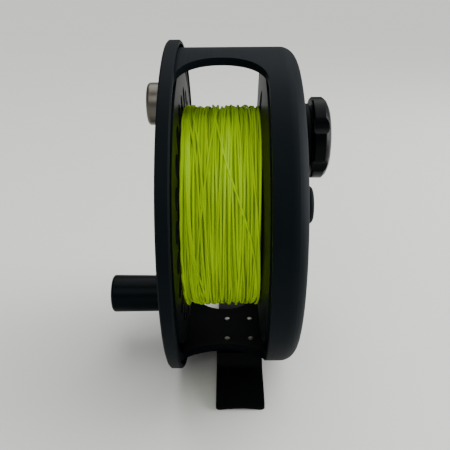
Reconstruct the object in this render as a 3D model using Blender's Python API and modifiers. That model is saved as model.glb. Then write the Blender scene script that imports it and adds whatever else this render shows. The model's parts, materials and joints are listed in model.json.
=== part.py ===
"""A fly reel: windowed frame, ported spool with line, handle, counterweight, disc drag and foot.

Metres, +Z up. The spool's axis runs along X: the handle is at -X, the drag knob at +X.
The origin is on the floor, under the middle of the reel, which stands on its foot.
Stations along the axis are measured from the middle of the line, positive toward the drag knob.
"""
import math

import bmesh
import bpy
from mathutils import Vector
from mathutils.kdtree import KDTree

MM = 0.001

# General fits
GAP = 0.3 * MM
RUN = 0.35 * MM
OVERCUT = 2.0 * MM

# Frame: a cup with two long windows, closed at the back
FRAME_R = 46.4 * MM
FRAME_WALL = 2.15 * MM
FRAME_CORNER = 3.6 * MM
BACK_CLEAR = 5.25 * MM
BACK_WALL = 1.85 * MM
BACK_CROWN = 1.5 * MM
INNER_FILLET = 1.6 * MM
FRONT_RING = 2.2 * MM
BAR_ANGLE = math.radians(14.2)
WINDOW_BLUNT = math.radians(6.0)
WINDOW_PAST = 0.15 * MM

# Spool: two ported flanges that slope apart on a hollow arbor, with a rim outside the frame
LINE_SPACE = 23.9 * MM
FLANGE = 1.65 * MM
FLANGE_DISH = 2.05 * MM
FLANGE_CLEAR = 1.55 * MM
ARBOR_R = 20.0 * MM
ARBOR_WALL = 2.0 * MM
RIM_GAP = 1.0 * MM
RIM_WALL = 1.1 * MM
RIM_WIDTH = 3.45 * MM
RIM_RAISE = 1.15 * MM
RIM_FLOOR = 0.9 * MM
RIM_EDGE = 0.45 * MM
RIM_SLOPE = 2.6 * MM
WEB = 2.5 * MM
WEB_INSET = 2.45 * MM
HUB_WALL = 1.7 * MM
HUB_INSET = 0.95 * MM
HUB_PAST = 0.05 * MM
PORTS = 24
PORT_R = 3.1 * MM
PORT_INSET = 10.3 * MM
SPOOL_TURN = math.radians(7.0)

# Spindle and bearings
SPINDLE_R = 3.0 * MM
SHOULDER_R = 4.2 * MM
COLLAR_R = 6.4 * MM
COLLAR = 1.9 * MM
STUD_OUT = 3.2 * MM
BEARING_R = 5.0 * MM
BEARING = 3.0 * MM
FRONT_BEARING_INSET = 1.6 * MM
REAR_BEARING_INSET = 0.4 * MM
NUT_R = 4.2 * MM
NUT = 2.4 * MM
CAP_R = 5.9 * MM
CAP_WALL = 1.1 * MM
CAP_OUT = 5.4 * MM
CAP_CROWN = 1.5 * MM
SPOOL_SCREW_HEAD_R = 6.4 * MM
SPOOL_SCREW_HEAD = 1.4 * MM
SPOOL_SCREW_R = 1.7 * MM
SPOOL_SCREW_LENGTH = 8.0 * MM
COIN_SLOT = 1.3 * MM
COIN_SLOT_DEPTH = 0.7 * MM

# Line: a plain core under one wound outer layer
LINE_R = 0.38 * MM
LINE_PACK_R = 29.8 * MM
LINE_SIDE_GAP = 0.3 * MM
LINE_LOOPS = 15
LINE_LOOP_POINTS = 24
CORE_EDGE = 1.0 * MM

# Handle and counterweight, on opposite sides of the spool
CRANK_INSET = 9.85 * MM
GRIP_R = 6.2 * MM
GRIP_TAPER = 0.25 * MM
GRIP_LENGTH = 21.8 * MM
GRIP_EDGE = 1.1 * MM
GRIP_BASE_EDGE = 0.4 * MM
POST_R = 2.2 * MM
POST_COLLAR_R = 3.6 * MM
POST_COLLAR = 0.7 * MM
POST_HEAD_R = 3.5 * MM
POST_HEAD = 1.8 * MM
POST_HEAD_DEPTH = 1.2 * MM
RIVET_R = 1.6 * MM
WEIGHT_INSET = 10.7 * MM
WEIGHT_R = 5.9 * MM
WEIGHT = 6.5 * MM
WEIGHT_EDGE = 1.0 * MM
WEIGHT_SCREW_R = 1.3 * MM
WEIGHT_SCREW_HEAD_R = 2.4 * MM
WEIGHT_SCREW_DEPTH = 4.5 * MM

# Drag: an offset knob and screw draw a yoke against a cork-faced disc
KNOB_OFFSET = 20.9 * MM
KNOB_R = 11.7 * MM
KNOB = 5.0 * MM
KNOB_CHAMFER = 3.3 * MM
KNOB_CHAMFER_HEIGHT = 2.1 * MM
KNOB_SHOULDER = 1.1 * MM
KNOB_SHOULDER_DROP = 1.15 * MM
KNOB_BASE_EDGE = 0.4 * MM
KNOB_LOBES = 6
KNOB_SCALLOP_R = 3.6 * MM
KNOB_SCALLOP_DEPTH = 1.15 * MM
KNOB_WEB = 1.0 * MM
BOSS_R = 9.85 * MM
BOSS_OUT = 3.0 * MM
BOSS_EDGE = 0.5 * MM
STEM_R = 2.2 * MM
STEM_COLLAR_R = 3.5 * MM
STEM_COLLAR = 1.8 * MM
STEM_GRIP = 2.2 * MM
KNOB_SCREW_R = 1.3 * MM
KNOB_SCREW_HEAD_R = 3.1 * MM
KNOB_SCREW_HEAD = 1.0 * MM
KNOB_SCREW_LENGTH = 3.4 * MM
YOKE = 1.5 * MM
YOKE_R = 17.0 * MM
YOKE_BORE = 7.6 * MM
YOKE_EAR_R = 4.6 * MM
YOKE_TRAVEL = 0.46 * MM
YOKE_BACK_GAP = 0.45 * MM
YOKE_PIN_R = 1.5 * MM
YOKE_PIN_SEAT = 1.4 * MM
CORK = 1.5 * MM
CORK_INSET = 0.3 * MM
DISC = 2.0 * MM
DISC_CLEAR = 1.2 * MM
DISC_HUB_WALL = 2.0 * MM
CLUTCH = 8.0 * MM
CLUTCH_WALL = 2.4 * MM
CLUTCH_INSET = 9.5 * MM

# Foot: a tapered saddle under the bottom bar, held by four screws
FOOT_STAND = 5.2 * MM
FOOT_AT = 5.0 * MM
FOOT_LENGTH = 63.0 * MM
FOOT_WIDTH = 14.2 * MM
FOOT_TIP = 1.1 * MM
FOOT_SHOULDER = 3.3 * MM
FOOT_PAD = 26.0 * MM
FOOT_PAD_LIP = 0.4 * MM
FOOT_PAD_SLOPE = 3.5 * MM
FOOT_CORNER = 1.0 * MM
FOOT_LAND = 1.7 * MM
FOOT_CHANNEL_DEPTH = 0.5 * MM
FOOT_SCREW_X = 7.65 * MM
FOOT_SCREW_Y = 12.2 * MM
FOOT_SCREW_R = 1.0 * MM
FOOT_SCREW_HEAD_R = 2.0 * MM
FOOT_SCREW_HEAD = 1.1 * MM
FOOT_SCREW_SINK = 0.7 * MM
FOOT_SCREW_PROUD = 0.15 * MM

# Facets on round pieces and curves
LARGE_STEPS = 52
KNOB_STEPS = 40
MEDIUM_STEPS = 26
SMALL_STEPS = 14
PORT_STEPS = 10
HEX_SIDES = 6
CORNER_STEPS = 5
EDGE_STEPS = 4
FILLET_STEPS = 2
CROWN_STEPS = 2
RAMP_STEPS = 6
WINDOW_END_STEPS = 9
WINDOW_SIDE_STEPS = 10
GAP_STEPS = 8
QUARTER_TURN = 90.0

# Stations and radii that follow from the sizes above
SPACE_HALF = LINE_SPACE / 2
FLANGE_FACE = SPACE_HALF + FLANGE
BACK_INNER = FLANGE_FACE + BACK_CLEAR
BACK_OUTER = BACK_INNER + BACK_WALL
BACK_CENTRE = BACK_OUTER + BACK_CROWN
BOSS_FACE = BACK_CENTRE + BOSS_OUT
HUB_FRONT = HUB_INSET - SPACE_HALF
HUB_REAR = SPACE_HALF + HUB_PAST
WEB_FRONT = WEB_INSET - SPACE_HALF
SPINDLE_FRONT = HUB_FRONT - GAP
FRONT_BEARING_AT = HUB_FRONT + FRONT_BEARING_INSET
REAR_BEARING_AT = HUB_REAR - REAR_BEARING_INSET - BEARING
CLUTCH_AT = HUB_REAR - CLUTCH_INSET
RIM_FRONT = -(FLANGE_FACE + RIM_RAISE)
RIM_REAR = RIM_FRONT + RIM_WIDTH
FRAME_INNER_R = FRAME_R - FRAME_WALL
AXIS_HEIGHT = FRAME_R + FOOT_STAND
RIM_INNER_R = FRAME_R + RIM_GAP
RIM_R = RIM_INNER_R + RIM_WALL
FLANGE_R = FRAME_INNER_R - FLANGE_CLEAR
PORT_RING = FLANGE_R - PORT_INSET
CRANK = FLANGE_R - CRANK_INSET
WEIGHT_RING = FLANGE_R - WEIGHT_INSET
DISH_SLOPE = FLANGE_DISH / (FLANGE_R - ARBOR_R)
FRAME_FRONT = RIM_FRONT + RIM_FLOOR + RUN
WINDOW_FRONT = FRAME_FRONT + FRONT_RING
WINDOW_REAR = SPACE_HALF + WINDOW_PAST
ARBOR_BORE = ARBOR_R - ARBOR_WALL
DISC_R = ARBOR_BORE - DISC_CLEAR
CORK_R = DISC_R - CORK_INSET
HUB_BORE = BEARING_R + GAP
HUB_R = HUB_BORE + HUB_WALL
CLUTCH_BORE = HUB_R + RUN
CLUTCH_R = CLUTCH_BORE + CLUTCH_WALL
DISC_BORE = CLUTCH_R + GAP
DISC_HUB_R = DISC_BORE + DISC_HUB_WALL
YOKE_REAR = BACK_INNER - YOKE_BACK_GAP
YOKE_FRONT = YOKE_REAR - YOKE
CORK_REAR = YOKE_FRONT - YOKE_TRAVEL - RUN
CORK_FRONT = CORK_REAR - CORK
DISC_REAR = CORK_FRONT - GAP
DISC_FRONT = DISC_REAR - DISC
KNOB_BASE = BOSS_FACE + GAP
KNOB_TOP = KNOB_BASE + KNOB
FACE_FRONT = -FLANGE_FACE
GRIP_BASE = FACE_FRONT - GAP - POST_COLLAR - GAP
GRIP_END = GRIP_BASE - GRIP_LENGTH
CENTRE_SHIFT = -(GRIP_END + KNOB_TOP) / 2

BLACK = ("anodised_black", (0.018, 0.019, 0.021), 0.42, 0.85)
FINISHES = {
    "frame": BLACK,
    "spool": ("anodised_spool", (0.016, 0.017, 0.018), 0.38, 0.85),
    "foot": ("anodised_foot", (0.012, 0.012, 0.013), 0.5, 0.7),
    "knob": ("gloss_black", (0.01, 0.01, 0.011), 0.22, 0.8),
    "cap": ("satin_black", (0.02, 0.02, 0.022), 0.45, 0.8),
    "grip": ("black_acetal", (0.012, 0.012, 0.013), 0.4, 0.0),
    "steel": ("stainless", (0.52, 0.50, 0.47), 0.3, 1.0),
    "weight": ("brushed_stainless", (0.36, 0.33, 0.30), 0.35, 1.0),
    "bearing": ("bearing_steel", (0.6, 0.6, 0.62), 0.2, 1.0),
    "drag": ("drag_plate", (0.45, 0.46, 0.48), 0.35, 1.0),
    "cork": ("cork", (0.52, 0.33, 0.17), 0.9, 0.0),
    "core": ("line_core", (0.42, 0.58, 0.02), 0.6, 0.0),
    "line": ("fly_line", (0.55, 0.75, 0.02), 0.45, 0.0),
}


def clear_scene():
    for item in list(bpy.data.objects):
        bpy.data.objects.remove(item, do_unlink=True)


def collection(name):
    made = bpy.data.collections.new(name)
    bpy.context.scene.collection.children.link(made)
    return made


clear_scene()
PARTS = collection("fly_reel")
CUTTERS = collection("fly_reel_cutters")
made_materials = {}
# The exact solver leaves open edges on these pieces, whose cuts follow one another closely
MANY_CUTS = ("frame", "spool", "reel_foot")


def material_for(finish):
    """Each finish is one Principled material, made the first time that it is asked for."""
    if finish in made_materials:
        return made_materials[finish]
    name, colour, roughness, metallic = FINISHES[finish]
    material = bpy.data.materials.new(name)
    material.use_nodes = True
    shader = material.node_tree.nodes["Principled BSDF"]
    shader.inputs["Base Color"].default_value = (*colour, 1.0)
    shader.inputs["Roughness"].default_value = roughness
    shader.inputs["Metallic"].default_value = metallic
    made_materials[finish] = material
    return material


def empty(name, location, rotation=(0.0, 0.0, 0.0), parent=None):
    made = bpy.data.objects.new(name, None)
    made.location = location
    made.rotation_euler = rotation
    made.parent = parent
    PARTS.objects.link(made)
    return made


def place(name, mesh, finish, parent):
    """Link a mesh as a part, or as a cutter where it has no finish."""
    made = bpy.data.objects.new(name, mesh)
    made.parent = parent
    if finish is None:
        made.hide_render = True
        made.display_type = "WIRE"
        CUTTERS.objects.link(made)
    else:
        mesh.materials.append(material_for(finish))
        PARTS.objects.link(made)
    return made


def turned(name, profile, finish, parent, steps, closed=True):
    """Turn a profile of (radius, station) about the parent's Z axis.

    The profile runs up its inner side and down its outer side. An open one ends on the axis.
    """
    mesh = bpy.data.meshes.new(name)
    shape = bmesh.new()
    verts = [shape.verts.new((radius, 0.0, station)) for radius, station in profile]
    for first, second in zip(verts, verts[1:]):
        shape.edges.new((first, second))
    if closed:
        shape.edges.new((verts[-1], verts[0]))
    shape.to_mesh(mesh)
    shape.free()
    made = place(name, mesh, finish, parent)
    screw = made.modifiers.new("turn", "SCREW")
    screw.axis = "Z"
    screw.angle = 2 * math.pi
    screw.steps = steps
    screw.render_steps = steps
    screw.use_merge_vertices = True
    screw.merge_threshold = 0.000001
    screw.use_smooth_shade = True
    return made


def ring(name, inner, outer, low, high, finish, parent, steps):
    profile = [(inner, low), (inner, high), (outer, high), (outer, low)]
    return turned(name, profile, finish, parent, steps)


def rod(name, sections, finish, parent, steps):
    """A stepped round bar from (radius, low, high) sections given from the top down."""
    profile = [(0.0, sections[0][2])]
    for radius, low, high in sections:
        profile += [(radius, high), (radius, low)]
    profile.append((0.0, sections[-1][1]))
    return turned(name, profile, finish, parent, steps, closed=False)


def pegs(name, places, radius, low, high, parent, steps, finish=None):
    """Parallel cylinders, one at each (x, y) place, mostly used as a cutter."""
    mesh = bpy.data.meshes.new(name)
    shape = bmesh.new()
    for x, y in places:
        made = bmesh.ops.create_cone(
            shape, cap_ends=True, segments=steps, radius1=radius, radius2=radius, depth=high - low
        )
        bmesh.ops.translate(shape, verts=made["verts"], vec=(x, y, (low + high) / 2))
    shape.to_mesh(mesh)
    shape.free()
    return place(name, mesh, finish, parent)


def box(name, low, high, finish, parent):
    mesh = bpy.data.meshes.new(name)
    shape = bmesh.new()
    bmesh.ops.create_cube(shape, size=1.0)
    size = Vector(high) - Vector(low)
    bmesh.ops.scale(shape, verts=shape.verts, vec=size)
    bmesh.ops.translate(shape, verts=shape.verts, vec=Vector(low) + size / 2)
    shape.to_mesh(mesh)
    shape.free()
    return place(name, mesh, finish, parent)


def combine(target, other, operation):
    """Cut another object from the target, or fuse it on."""
    boolean = target.modifiers.new(other.name, "BOOLEAN")
    boolean.operation = operation
    boolean.object = other
    if target.name in MANY_CUTS:
        boolean.solver = "MANIFOLD"
    return target


def cut(target, cutter):
    return combine(target, cutter, "DIFFERENCE")


def fuse(target, other):
    return combine(target, other, "UNION")


def arc(centre, radius, start, end, steps):
    """Points of a profile's rounded corner, with angles in degrees from the outward direction."""
    points = []
    for index in range(steps + 1):
        angle = math.radians(start + (end - start) * index / steps)
        points.append((centre[0] + radius * math.cos(angle), centre[1] + radius * math.sin(angle)))
    return points


def on_circle(count, radius, skip=()):
    """Places spaced evenly round a circle, from the top."""
    places = []
    for index in range(count):
        if index not in skip:
            angle = 2 * math.pi * index / count
            places.append((radius * math.cos(angle), radius * math.sin(angle)))
    return places


def space_half(radius):
    """Half the width between the flanges, which is least at the arbor."""
    return SPACE_HALF - DISH_SLOPE * (FLANGE_R - radius)


def back_station(radius):
    """The back plate's outer face is a low crown."""
    return BACK_OUTER + BACK_CROWN * (1 - (radius / (FRAME_R - FRAME_CORNER)) ** 2)


def window_cutter(name, side, parent):
    """A long window with round ends, its walls cut along the frame's radii.

    It is a loft of four-cornered sections that follow the frame's wall from the top bar to the bottom.
    """
    middle = (WINDOW_FRONT + WINDOW_REAR) / 2
    half = (WINDOW_REAR - WINDOW_FRONT) / 2
    end_turn = half / FRAME_R
    stations = []
    for index in range(WINDOW_END_STEPS + 1):
        turn = WINDOW_BLUNT + (math.pi / 2 - WINDOW_BLUNT) * index / WINDOW_END_STEPS
        stations.append((BAR_ANGLE + end_turn * (1 - math.cos(turn)), half * math.sin(turn)))
    first, last = stations[-1][0], math.pi - stations[-1][0]
    ends = list(stations)
    for index in range(1, WINDOW_SIDE_STEPS):
        stations.append((first + (last - first) * index / WINDOW_SIDE_STEPS, half))
    for angle, reach in reversed(ends):
        stations.append((math.pi - angle, reach))
    inner, outer = FRAME_INNER_R - 2 * OVERCUT, FRAME_R + 2 * OVERCUT
    mesh = bpy.data.meshes.new(name)
    shape = bmesh.new()
    loops = []
    for angle, reach in stations:
        across = (math.cos(angle), side * math.sin(angle))
        corners = ((inner, -reach), (outer, -reach), (outer, reach), (inner, reach))
        loops.append([shape.verts.new((r * across[0], r * across[1], middle + h)) for r, h in corners])
    for near, far in zip(loops, loops[1:]):
        for index in range(4):
            after = (index + 1) % 4
            shape.faces.new((near[index], near[after], far[after], far[index]))
    shape.faces.new(loops[0])
    shape.faces.new(loops[-1])
    bmesh.ops.recalc_face_normals(shape, faces=shape.faces)
    shape.to_mesh(mesh)
    shape.free()
    return place(name, mesh, None, parent)


def make_frame(axis, foot_mount):
    """The cup: back plate with a low crown, rounded corner, side wall and narrow front ring."""
    crown_edge = FRAME_R - FRAME_CORNER
    bore = SPINDLE_R + GAP
    profile = [(bore, BACK_INNER)]
    for index in range(CROWN_STEPS):
        radius = bore + (crown_edge - bore) * index / CROWN_STEPS
        profile.append((radius, back_station(radius)))
    profile += arc((crown_edge, BACK_OUTER - FRAME_CORNER), FRAME_CORNER, QUARTER_TURN, 0, CORNER_STEPS)
    profile += [(FRAME_R, FRAME_FRONT), (FRAME_INNER_R, FRAME_FRONT)]
    fillet = (FRAME_INNER_R - INNER_FILLET, BACK_INNER - INNER_FILLET)
    profile += arc(fillet, INNER_FILLET, 0, QUARTER_TURN, FILLET_STEPS)
    frame = turned("frame", profile, "frame", axis, LARGE_STEPS)
    boss_profile = [
        (0.0, BOSS_FACE),
        (BOSS_R - BOSS_EDGE, BOSS_FACE),
        (BOSS_R, BOSS_FACE - BOSS_EDGE),
        (BOSS_R, BACK_INNER + GAP),
        (0.0, BACK_INNER + GAP),
    ]
    boss = turned("drag_boss", boss_profile, None, axis, MEDIUM_STEPS, closed=False)
    boss.location = (KNOB_OFFSET, 0.0, 0.0)
    fuse(frame, boss)
    for name, side in (("near_window", 1), ("far_window", -1)):
        cut(frame, window_cutter(name, side, axis))
    pocket_top = BACK_INNER + STEM_COLLAR + 2 * RUN
    sections = [
        (STEM_R + RUN, pocket_top, BOSS_FACE + OVERCUT),
        (STEM_COLLAR_R + RUN, BACK_INNER - OVERCUT, pocket_top),
    ]
    bore = rod("stem_bore", sections, None, axis, SMALL_STEPS)
    bore.location = (KNOB_OFFSET, 0.0, 0.0)
    cut(frame, bore)
    low, high = BACK_INNER - OVERCUT, BACK_INNER + YOKE_PIN_SEAT
    cut(frame, pegs("pin_seat", [(-KNOB_OFFSET, 0.0)], YOKE_PIN_R + GAP, low, high, axis, SMALL_STEPS))
    places, hole_r = foot_screw_places(), FOOT_SCREW_R + GAP
    cut(frame, pegs("bar_holes", places, hole_r, 0.0, AXIS_HEIGHT / 2, foot_mount, SMALL_STEPS))
    return frame


def make_spindle(axis):
    """The fixed shaft, its rear nut and dome cap, and the coin-slot screw that keeps the spool on."""
    collar_rear = BACK_INNER - GAP
    sections = [
        (SPINDLE_R, collar_rear, BACK_CENTRE + STUD_OUT),
        (COLLAR_R, collar_rear - COLLAR, collar_rear),
        (SHOULDER_R, REAR_BEARING_AT + BEARING + GAP, collar_rear - COLLAR),
        (SPINDLE_R, SPINDLE_FRONT, REAR_BEARING_AT + BEARING + GAP),
    ]
    spindle = rod("spindle", sections, "steel", axis, SMALL_STEPS)
    low, high = SPINDLE_FRONT - OVERCUT, SPINDLE_FRONT + SPOOL_SCREW_LENGTH + GAP
    cut(spindle, pegs("spindle_thread", [(0, 0)], SPOOL_SCREW_R + GAP, low, high, axis, PORT_STEPS))

    nut_low = BACK_CENTRE + GAP
    nut_high = nut_low + NUT
    nut = pegs("spindle_nut", [(0, 0)], NUT_R, nut_low, nut_high, axis, HEX_SIDES, "steel")
    low, high = nut_low - OVERCUT, nut_high + OVERCUT
    cut(nut, pegs("nut_thread", [(0, 0)], SPINDLE_R + GAP, low, high, axis, SMALL_STEPS))

    cap_low, cap_high = BACK_CENTRE + GAP, BACK_CENTRE + CAP_OUT
    hollow = CAP_R - CAP_WALL
    crown = arc((CAP_R - CAP_CROWN, cap_high - CAP_CROWN), CAP_CROWN, QUARTER_TURN, 0, EDGE_STEPS)
    profile = [(0.0, cap_high)] + crown
    roof = cap_high - CAP_WALL
    profile += [(CAP_R, cap_low), (hollow, cap_low), (hollow, roof), (0.0, roof)]
    turned("rear_cap", profile, "cap", axis, MEDIUM_STEPS, closed=False)

    head_rear = SPINDLE_FRONT - GAP
    head_front = head_rear - SPOOL_SCREW_HEAD
    sections = [
        (SPOOL_SCREW_R, head_rear, SPINDLE_FRONT + SPOOL_SCREW_LENGTH),
        (SPOOL_SCREW_HEAD_R, head_front, head_rear),
    ]
    screw = rod("spool_retaining_screw", sections, "steel", axis, SMALL_STEPS)
    reach = SPOOL_SCREW_HEAD_R + OVERCUT
    low = (-reach, -COIN_SLOT / 2, head_front - OVERCUT)
    high = (reach, COIN_SLOT / 2, head_front + COIN_SLOT_DEPTH)
    cut(screw, box("coin_slot", low, high, None, axis))


def make_spool(axis):
    """One turning: hub and web, arbor, two flanges, and the rim that laps over the frame's front ring."""
    floor = RIM_FRONT + RIM_FLOOR
    rim_slope = FLANGE_R + RIM_FLOOR
    profile = [
        (HUB_BORE, HUB_FRONT),
        (HUB_BORE, HUB_REAR),
        (HUB_R, HUB_REAR),
        (HUB_R, WEB_FRONT + WEB),
        (ARBOR_BORE, WEB_FRONT + WEB),
        (ARBOR_BORE, FLANGE_FACE),
        (FLANGE_R, FLANGE_FACE),
        (FLANGE_R, SPACE_HALF),
        (ARBOR_R, space_half(ARBOR_R)),
        (ARBOR_R, -space_half(ARBOR_R)),
        (FLANGE_R, -SPACE_HALF),
        (FLANGE_R, floor),
        (RIM_INNER_R, floor),
        (RIM_INNER_R, RIM_REAR),
        (RIM_R - RIM_EDGE, RIM_REAR),
        (RIM_R, RIM_REAR - RIM_EDGE),
        (RIM_R, RIM_FRONT + RIM_EDGE),
        (RIM_R - RIM_EDGE, RIM_FRONT),
        (rim_slope, RIM_FRONT),
        (rim_slope - RIM_SLOPE, FACE_FRONT),
        (ARBOR_BORE, FACE_FRONT),
        (ARBOR_BORE, WEB_FRONT),
        (HUB_R, WEB_FRONT),
        (HUB_R, HUB_FRONT),
    ]
    spool = turned("spool", profile, "spool", axis, LARGE_STEPS)
    half_ring = PORTS // 2
    sides = (
        ("front_ports", FACE_FRONT - OVERCUT, OVERCUT - SPACE_HALF, (0, half_ring)),
        ("rear_ports", SPACE_HALF - OVERCUT, FLANGE_FACE + OVERCUT, ()),
    )
    for name, low, high, skip in sides:
        places = on_circle(PORTS, PORT_RING, skip)
        cut(spool, pegs(name, places, PORT_R, low, high, axis, PORT_STEPS))
    low, high = FACE_FRONT - OVERCUT, OVERCUT - SPACE_HALF
    cut(spool, pegs("rivet_hole", [(-CRANK, 0.0)], RIVET_R + GAP, low, high, axis, PORT_STEPS))
    hole_r = WEIGHT_SCREW_HEAD_R + GAP
    cut(spool, pegs("weight_hole", [(WEIGHT_RING, 0.0)], hole_r, low, high, axis, SMALL_STEPS))
    for name, low in (("front_bearing", FRONT_BEARING_AT), ("rear_bearing", REAR_BEARING_AT)):
        ring(name, SPINDLE_R + GAP, BEARING_R, low, low + BEARING, "bearing", axis, SMALL_STEPS)


def line_points():
    """One unbroken helix, with a straight end of one line diameter at each side."""
    radius = LINE_PACK_R - LINE_R
    reach = 2 * (space_half(LINE_PACK_R) - LINE_SIDE_GAP - LINE_R)
    count = LINE_LOOPS * LINE_LOOP_POINTS
    points = []
    for index in range(count + 1):
        angle = 2 * math.pi * index / LINE_LOOP_POINTS
        along = reach * (index / count - 0.5)
        points.append(Vector((radius * math.cos(angle), radius * math.sin(angle), along)))
    start = points[0] - Vector((0.0, 2 * LINE_R, 0.0))
    end = points[-1] + Vector((0.0, 2 * LINE_R, 0.0))
    return [start] + points + [end]


def least_line_gap(points):
    """The smallest space between one loop and the next, measured on points along the helix."""
    fine = []
    for first, second in zip(points, points[1:]):
        fine += [first.lerp(second, index / GAP_STEPS) for index in range(GAP_STEPS)]
    tree = KDTree(len(fine))
    for index, point in enumerate(fine):
        tree.insert(point, index)
    tree.balance()
    apart = LINE_LOOP_POINTS * GAP_STEPS // 2
    least = LINE_SPACE
    for index, point in enumerate(fine):
        for _, other, distance in tree.find_range(point, 4 * LINE_R):
            if abs(other - index) > apart:
                least = min(least, distance)
    return least - 2 * LINE_R


def make_line(axis):
    """The wound outer layer lies on a plain core that fills the rest of the space."""
    core_r = LINE_PACK_R - 2 * LINE_R - GAP
    inner, edge_r = ARBOR_R + GAP, core_r - CORE_EDGE
    inner_half = space_half(inner) - LINE_SIDE_GAP
    edge_half = space_half(edge_r) - LINE_SIDE_GAP
    profile = [
        (inner, -inner_half),
        (inner, inner_half),
        (edge_r, edge_half),
        (core_r, edge_half - CORE_EDGE),
        (core_r, CORE_EDGE - edge_half),
        (edge_r, -edge_half),
    ]
    turned("line_core", profile, "core", axis, MEDIUM_STEPS)
    points = line_points()
    curve = bpy.data.curves.new("line_winding", "CURVE")
    curve.dimensions = "3D"
    curve.bevel_depth = LINE_R
    curve.bevel_resolution = 1
    curve.use_fill_caps = True
    spline = curve.splines.new("POLY")
    spline.points.add(len(points) - 1)
    for target, point in zip(spline.points, points):
        target.co = (*point, 1.0)
    curve.materials.append(material_for("line"))
    winding = bpy.data.objects.new("line_winding", curve)
    winding.parent = axis
    PARTS.objects.link(winding)
    print(f"least gap between loops of the line: {least_line_gap(points) / MM:.2f} mm")


def make_counterweight(axis):
    """A plain round weight, held from inside the flange by one flat screw."""
    base, end = FACE_FRONT - GAP, FACE_FRONT - GAP - WEIGHT
    edge = arc((WEIGHT_R - WEIGHT_EDGE, end + WEIGHT_EDGE), WEIGHT_EDGE, 0, -QUARTER_TURN, EDGE_STEPS)
    profile = [(0.0, base), (WEIGHT_R, base)] + edge + [(0.0, end)]
    weight = turned("counterweight", profile, "weight", axis, MEDIUM_STEPS, closed=False)
    weight.location = (WEIGHT_RING, 0.0, 0.0)
    depth = base - WEIGHT_SCREW_DEPTH
    low, high = depth - GAP, base + OVERCUT
    thread_r = WEIGHT_SCREW_R + GAP
    cut(weight, pegs("weight_thread", [(WEIGHT_RING, 0.0)], thread_r, low, high, axis, PORT_STEPS))
    head_front = FACE_FRONT + FLANGE / 4
    head_rear = -space_half(WEIGHT_RING + WEIGHT_SCREW_HEAD_R) - GAP
    sections = [
        (WEIGHT_SCREW_HEAD_R, head_front, head_rear),
        (WEIGHT_SCREW_R, depth, head_front),
    ]
    screw = rod("counterweight_screw", sections, "steel", axis, SMALL_STEPS)
    screw.location = (WEIGHT_RING, 0.0, 0.0)


def make_handle(axis):
    """A shoulder post riveted in the flange, and the grip that spins on it."""
    head_out = GRIP_END + POST_HEAD_DEPTH
    head_in = head_out + POST_HEAD
    collar_out = FACE_FRONT - GAP - POST_COLLAR
    sections = [
        (RIVET_R, FACE_FRONT - GAP, -space_half(CRANK + RIVET_R) - GAP),
        (POST_COLLAR_R, collar_out, FACE_FRONT - GAP),
        (POST_R, head_in, collar_out),
        (POST_HEAD_R, head_out, head_in),
    ]
    rod("handle_post", sections, "steel", axis, SMALL_STEPS)
    bore, pocket = POST_R + RUN, POST_HEAD_R + RUN
    pocket_floor = head_in + RUN
    inner_r = GRIP_R - GRIP_TAPER
    profile = [(bore, pocket_floor), (bore, GRIP_BASE)]
    profile += [(inner_r - GRIP_BASE_EDGE, GRIP_BASE), (inner_r, GRIP_BASE - GRIP_BASE_EDGE)]
    profile += arc((GRIP_R - GRIP_EDGE, GRIP_END + GRIP_EDGE), GRIP_EDGE, 0, -QUARTER_TURN, EDGE_STEPS)
    profile += [(pocket, GRIP_END), (pocket, pocket_floor)]
    turned("handle_grip", profile, "grip", axis, MEDIUM_STEPS)


def make_drag_knob(axis):
    """The scalloped knob, screwed to the end of a stem that is captive in the frame's boss."""
    stem_end = KNOB_BASE + STEM_GRIP
    web_top = stem_end + GAP + KNOB_WEB
    bore, screw_hole, pocket = STEM_R + GAP, KNOB_SCREW_R + GAP, KNOB_SCREW_HEAD_R + GAP
    side_top = KNOB_TOP - KNOB_CHAMFER_HEIGHT
    profile = [
        (bore, KNOB_BASE),
        (bore, stem_end + GAP),
        (screw_hole, stem_end + GAP),
        (screw_hole, web_top),
        (pocket, web_top),
        (pocket, KNOB_TOP),
        (KNOB_R - KNOB_CHAMFER, KNOB_TOP),
        (KNOB_R - KNOB_SHOULDER, KNOB_TOP - KNOB_SHOULDER_DROP),
        (KNOB_R, side_top),
        (KNOB_R, KNOB_BASE + KNOB_BASE_EDGE),
        (KNOB_R - KNOB_BASE_EDGE, KNOB_BASE),
    ]
    knob = turned("drag_knob", profile, "knob", axis, KNOB_STEPS)
    places = on_circle(KNOB_LOBES, KNOB_R + KNOB_SCALLOP_R - KNOB_SCALLOP_DEPTH)
    low, high = KNOB_BASE - OVERCUT, KNOB_TOP + OVERCUT
    cut(knob, pegs("knob_scallops", places, KNOB_SCALLOP_R, low, high, axis, MEDIUM_STEPS))

    collar_low = BACK_INNER + RUN
    stem_low = YOKE_FRONT - YOKE_TRAVEL - RUN
    sections = [
        (STEM_R, collar_low + STEM_COLLAR, stem_end),
        (STEM_COLLAR_R, collar_low, collar_low + STEM_COLLAR),
        (STEM_R, stem_low, collar_low),
    ]
    stem = rod("drag_stem", sections, "steel", axis, SMALL_STEPS)
    thread_low = stem_end - KNOB_SCREW_LENGTH + KNOB_WEB
    thread_high = stem_end + OVERCUT
    cut(stem, pegs("stem_thread", [(0, 0)], KNOB_SCREW_R + GAP, thread_low, thread_high, axis, PORT_STEPS))

    head_low = web_top + GAP
    sections = [
        (KNOB_SCREW_HEAD_R, head_low, head_low + KNOB_SCREW_HEAD),
        (KNOB_SCREW_R, head_low - KNOB_SCREW_LENGTH, head_low),
    ]
    rod("knob_screw", sections, "steel", axis, SMALL_STEPS)


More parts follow.
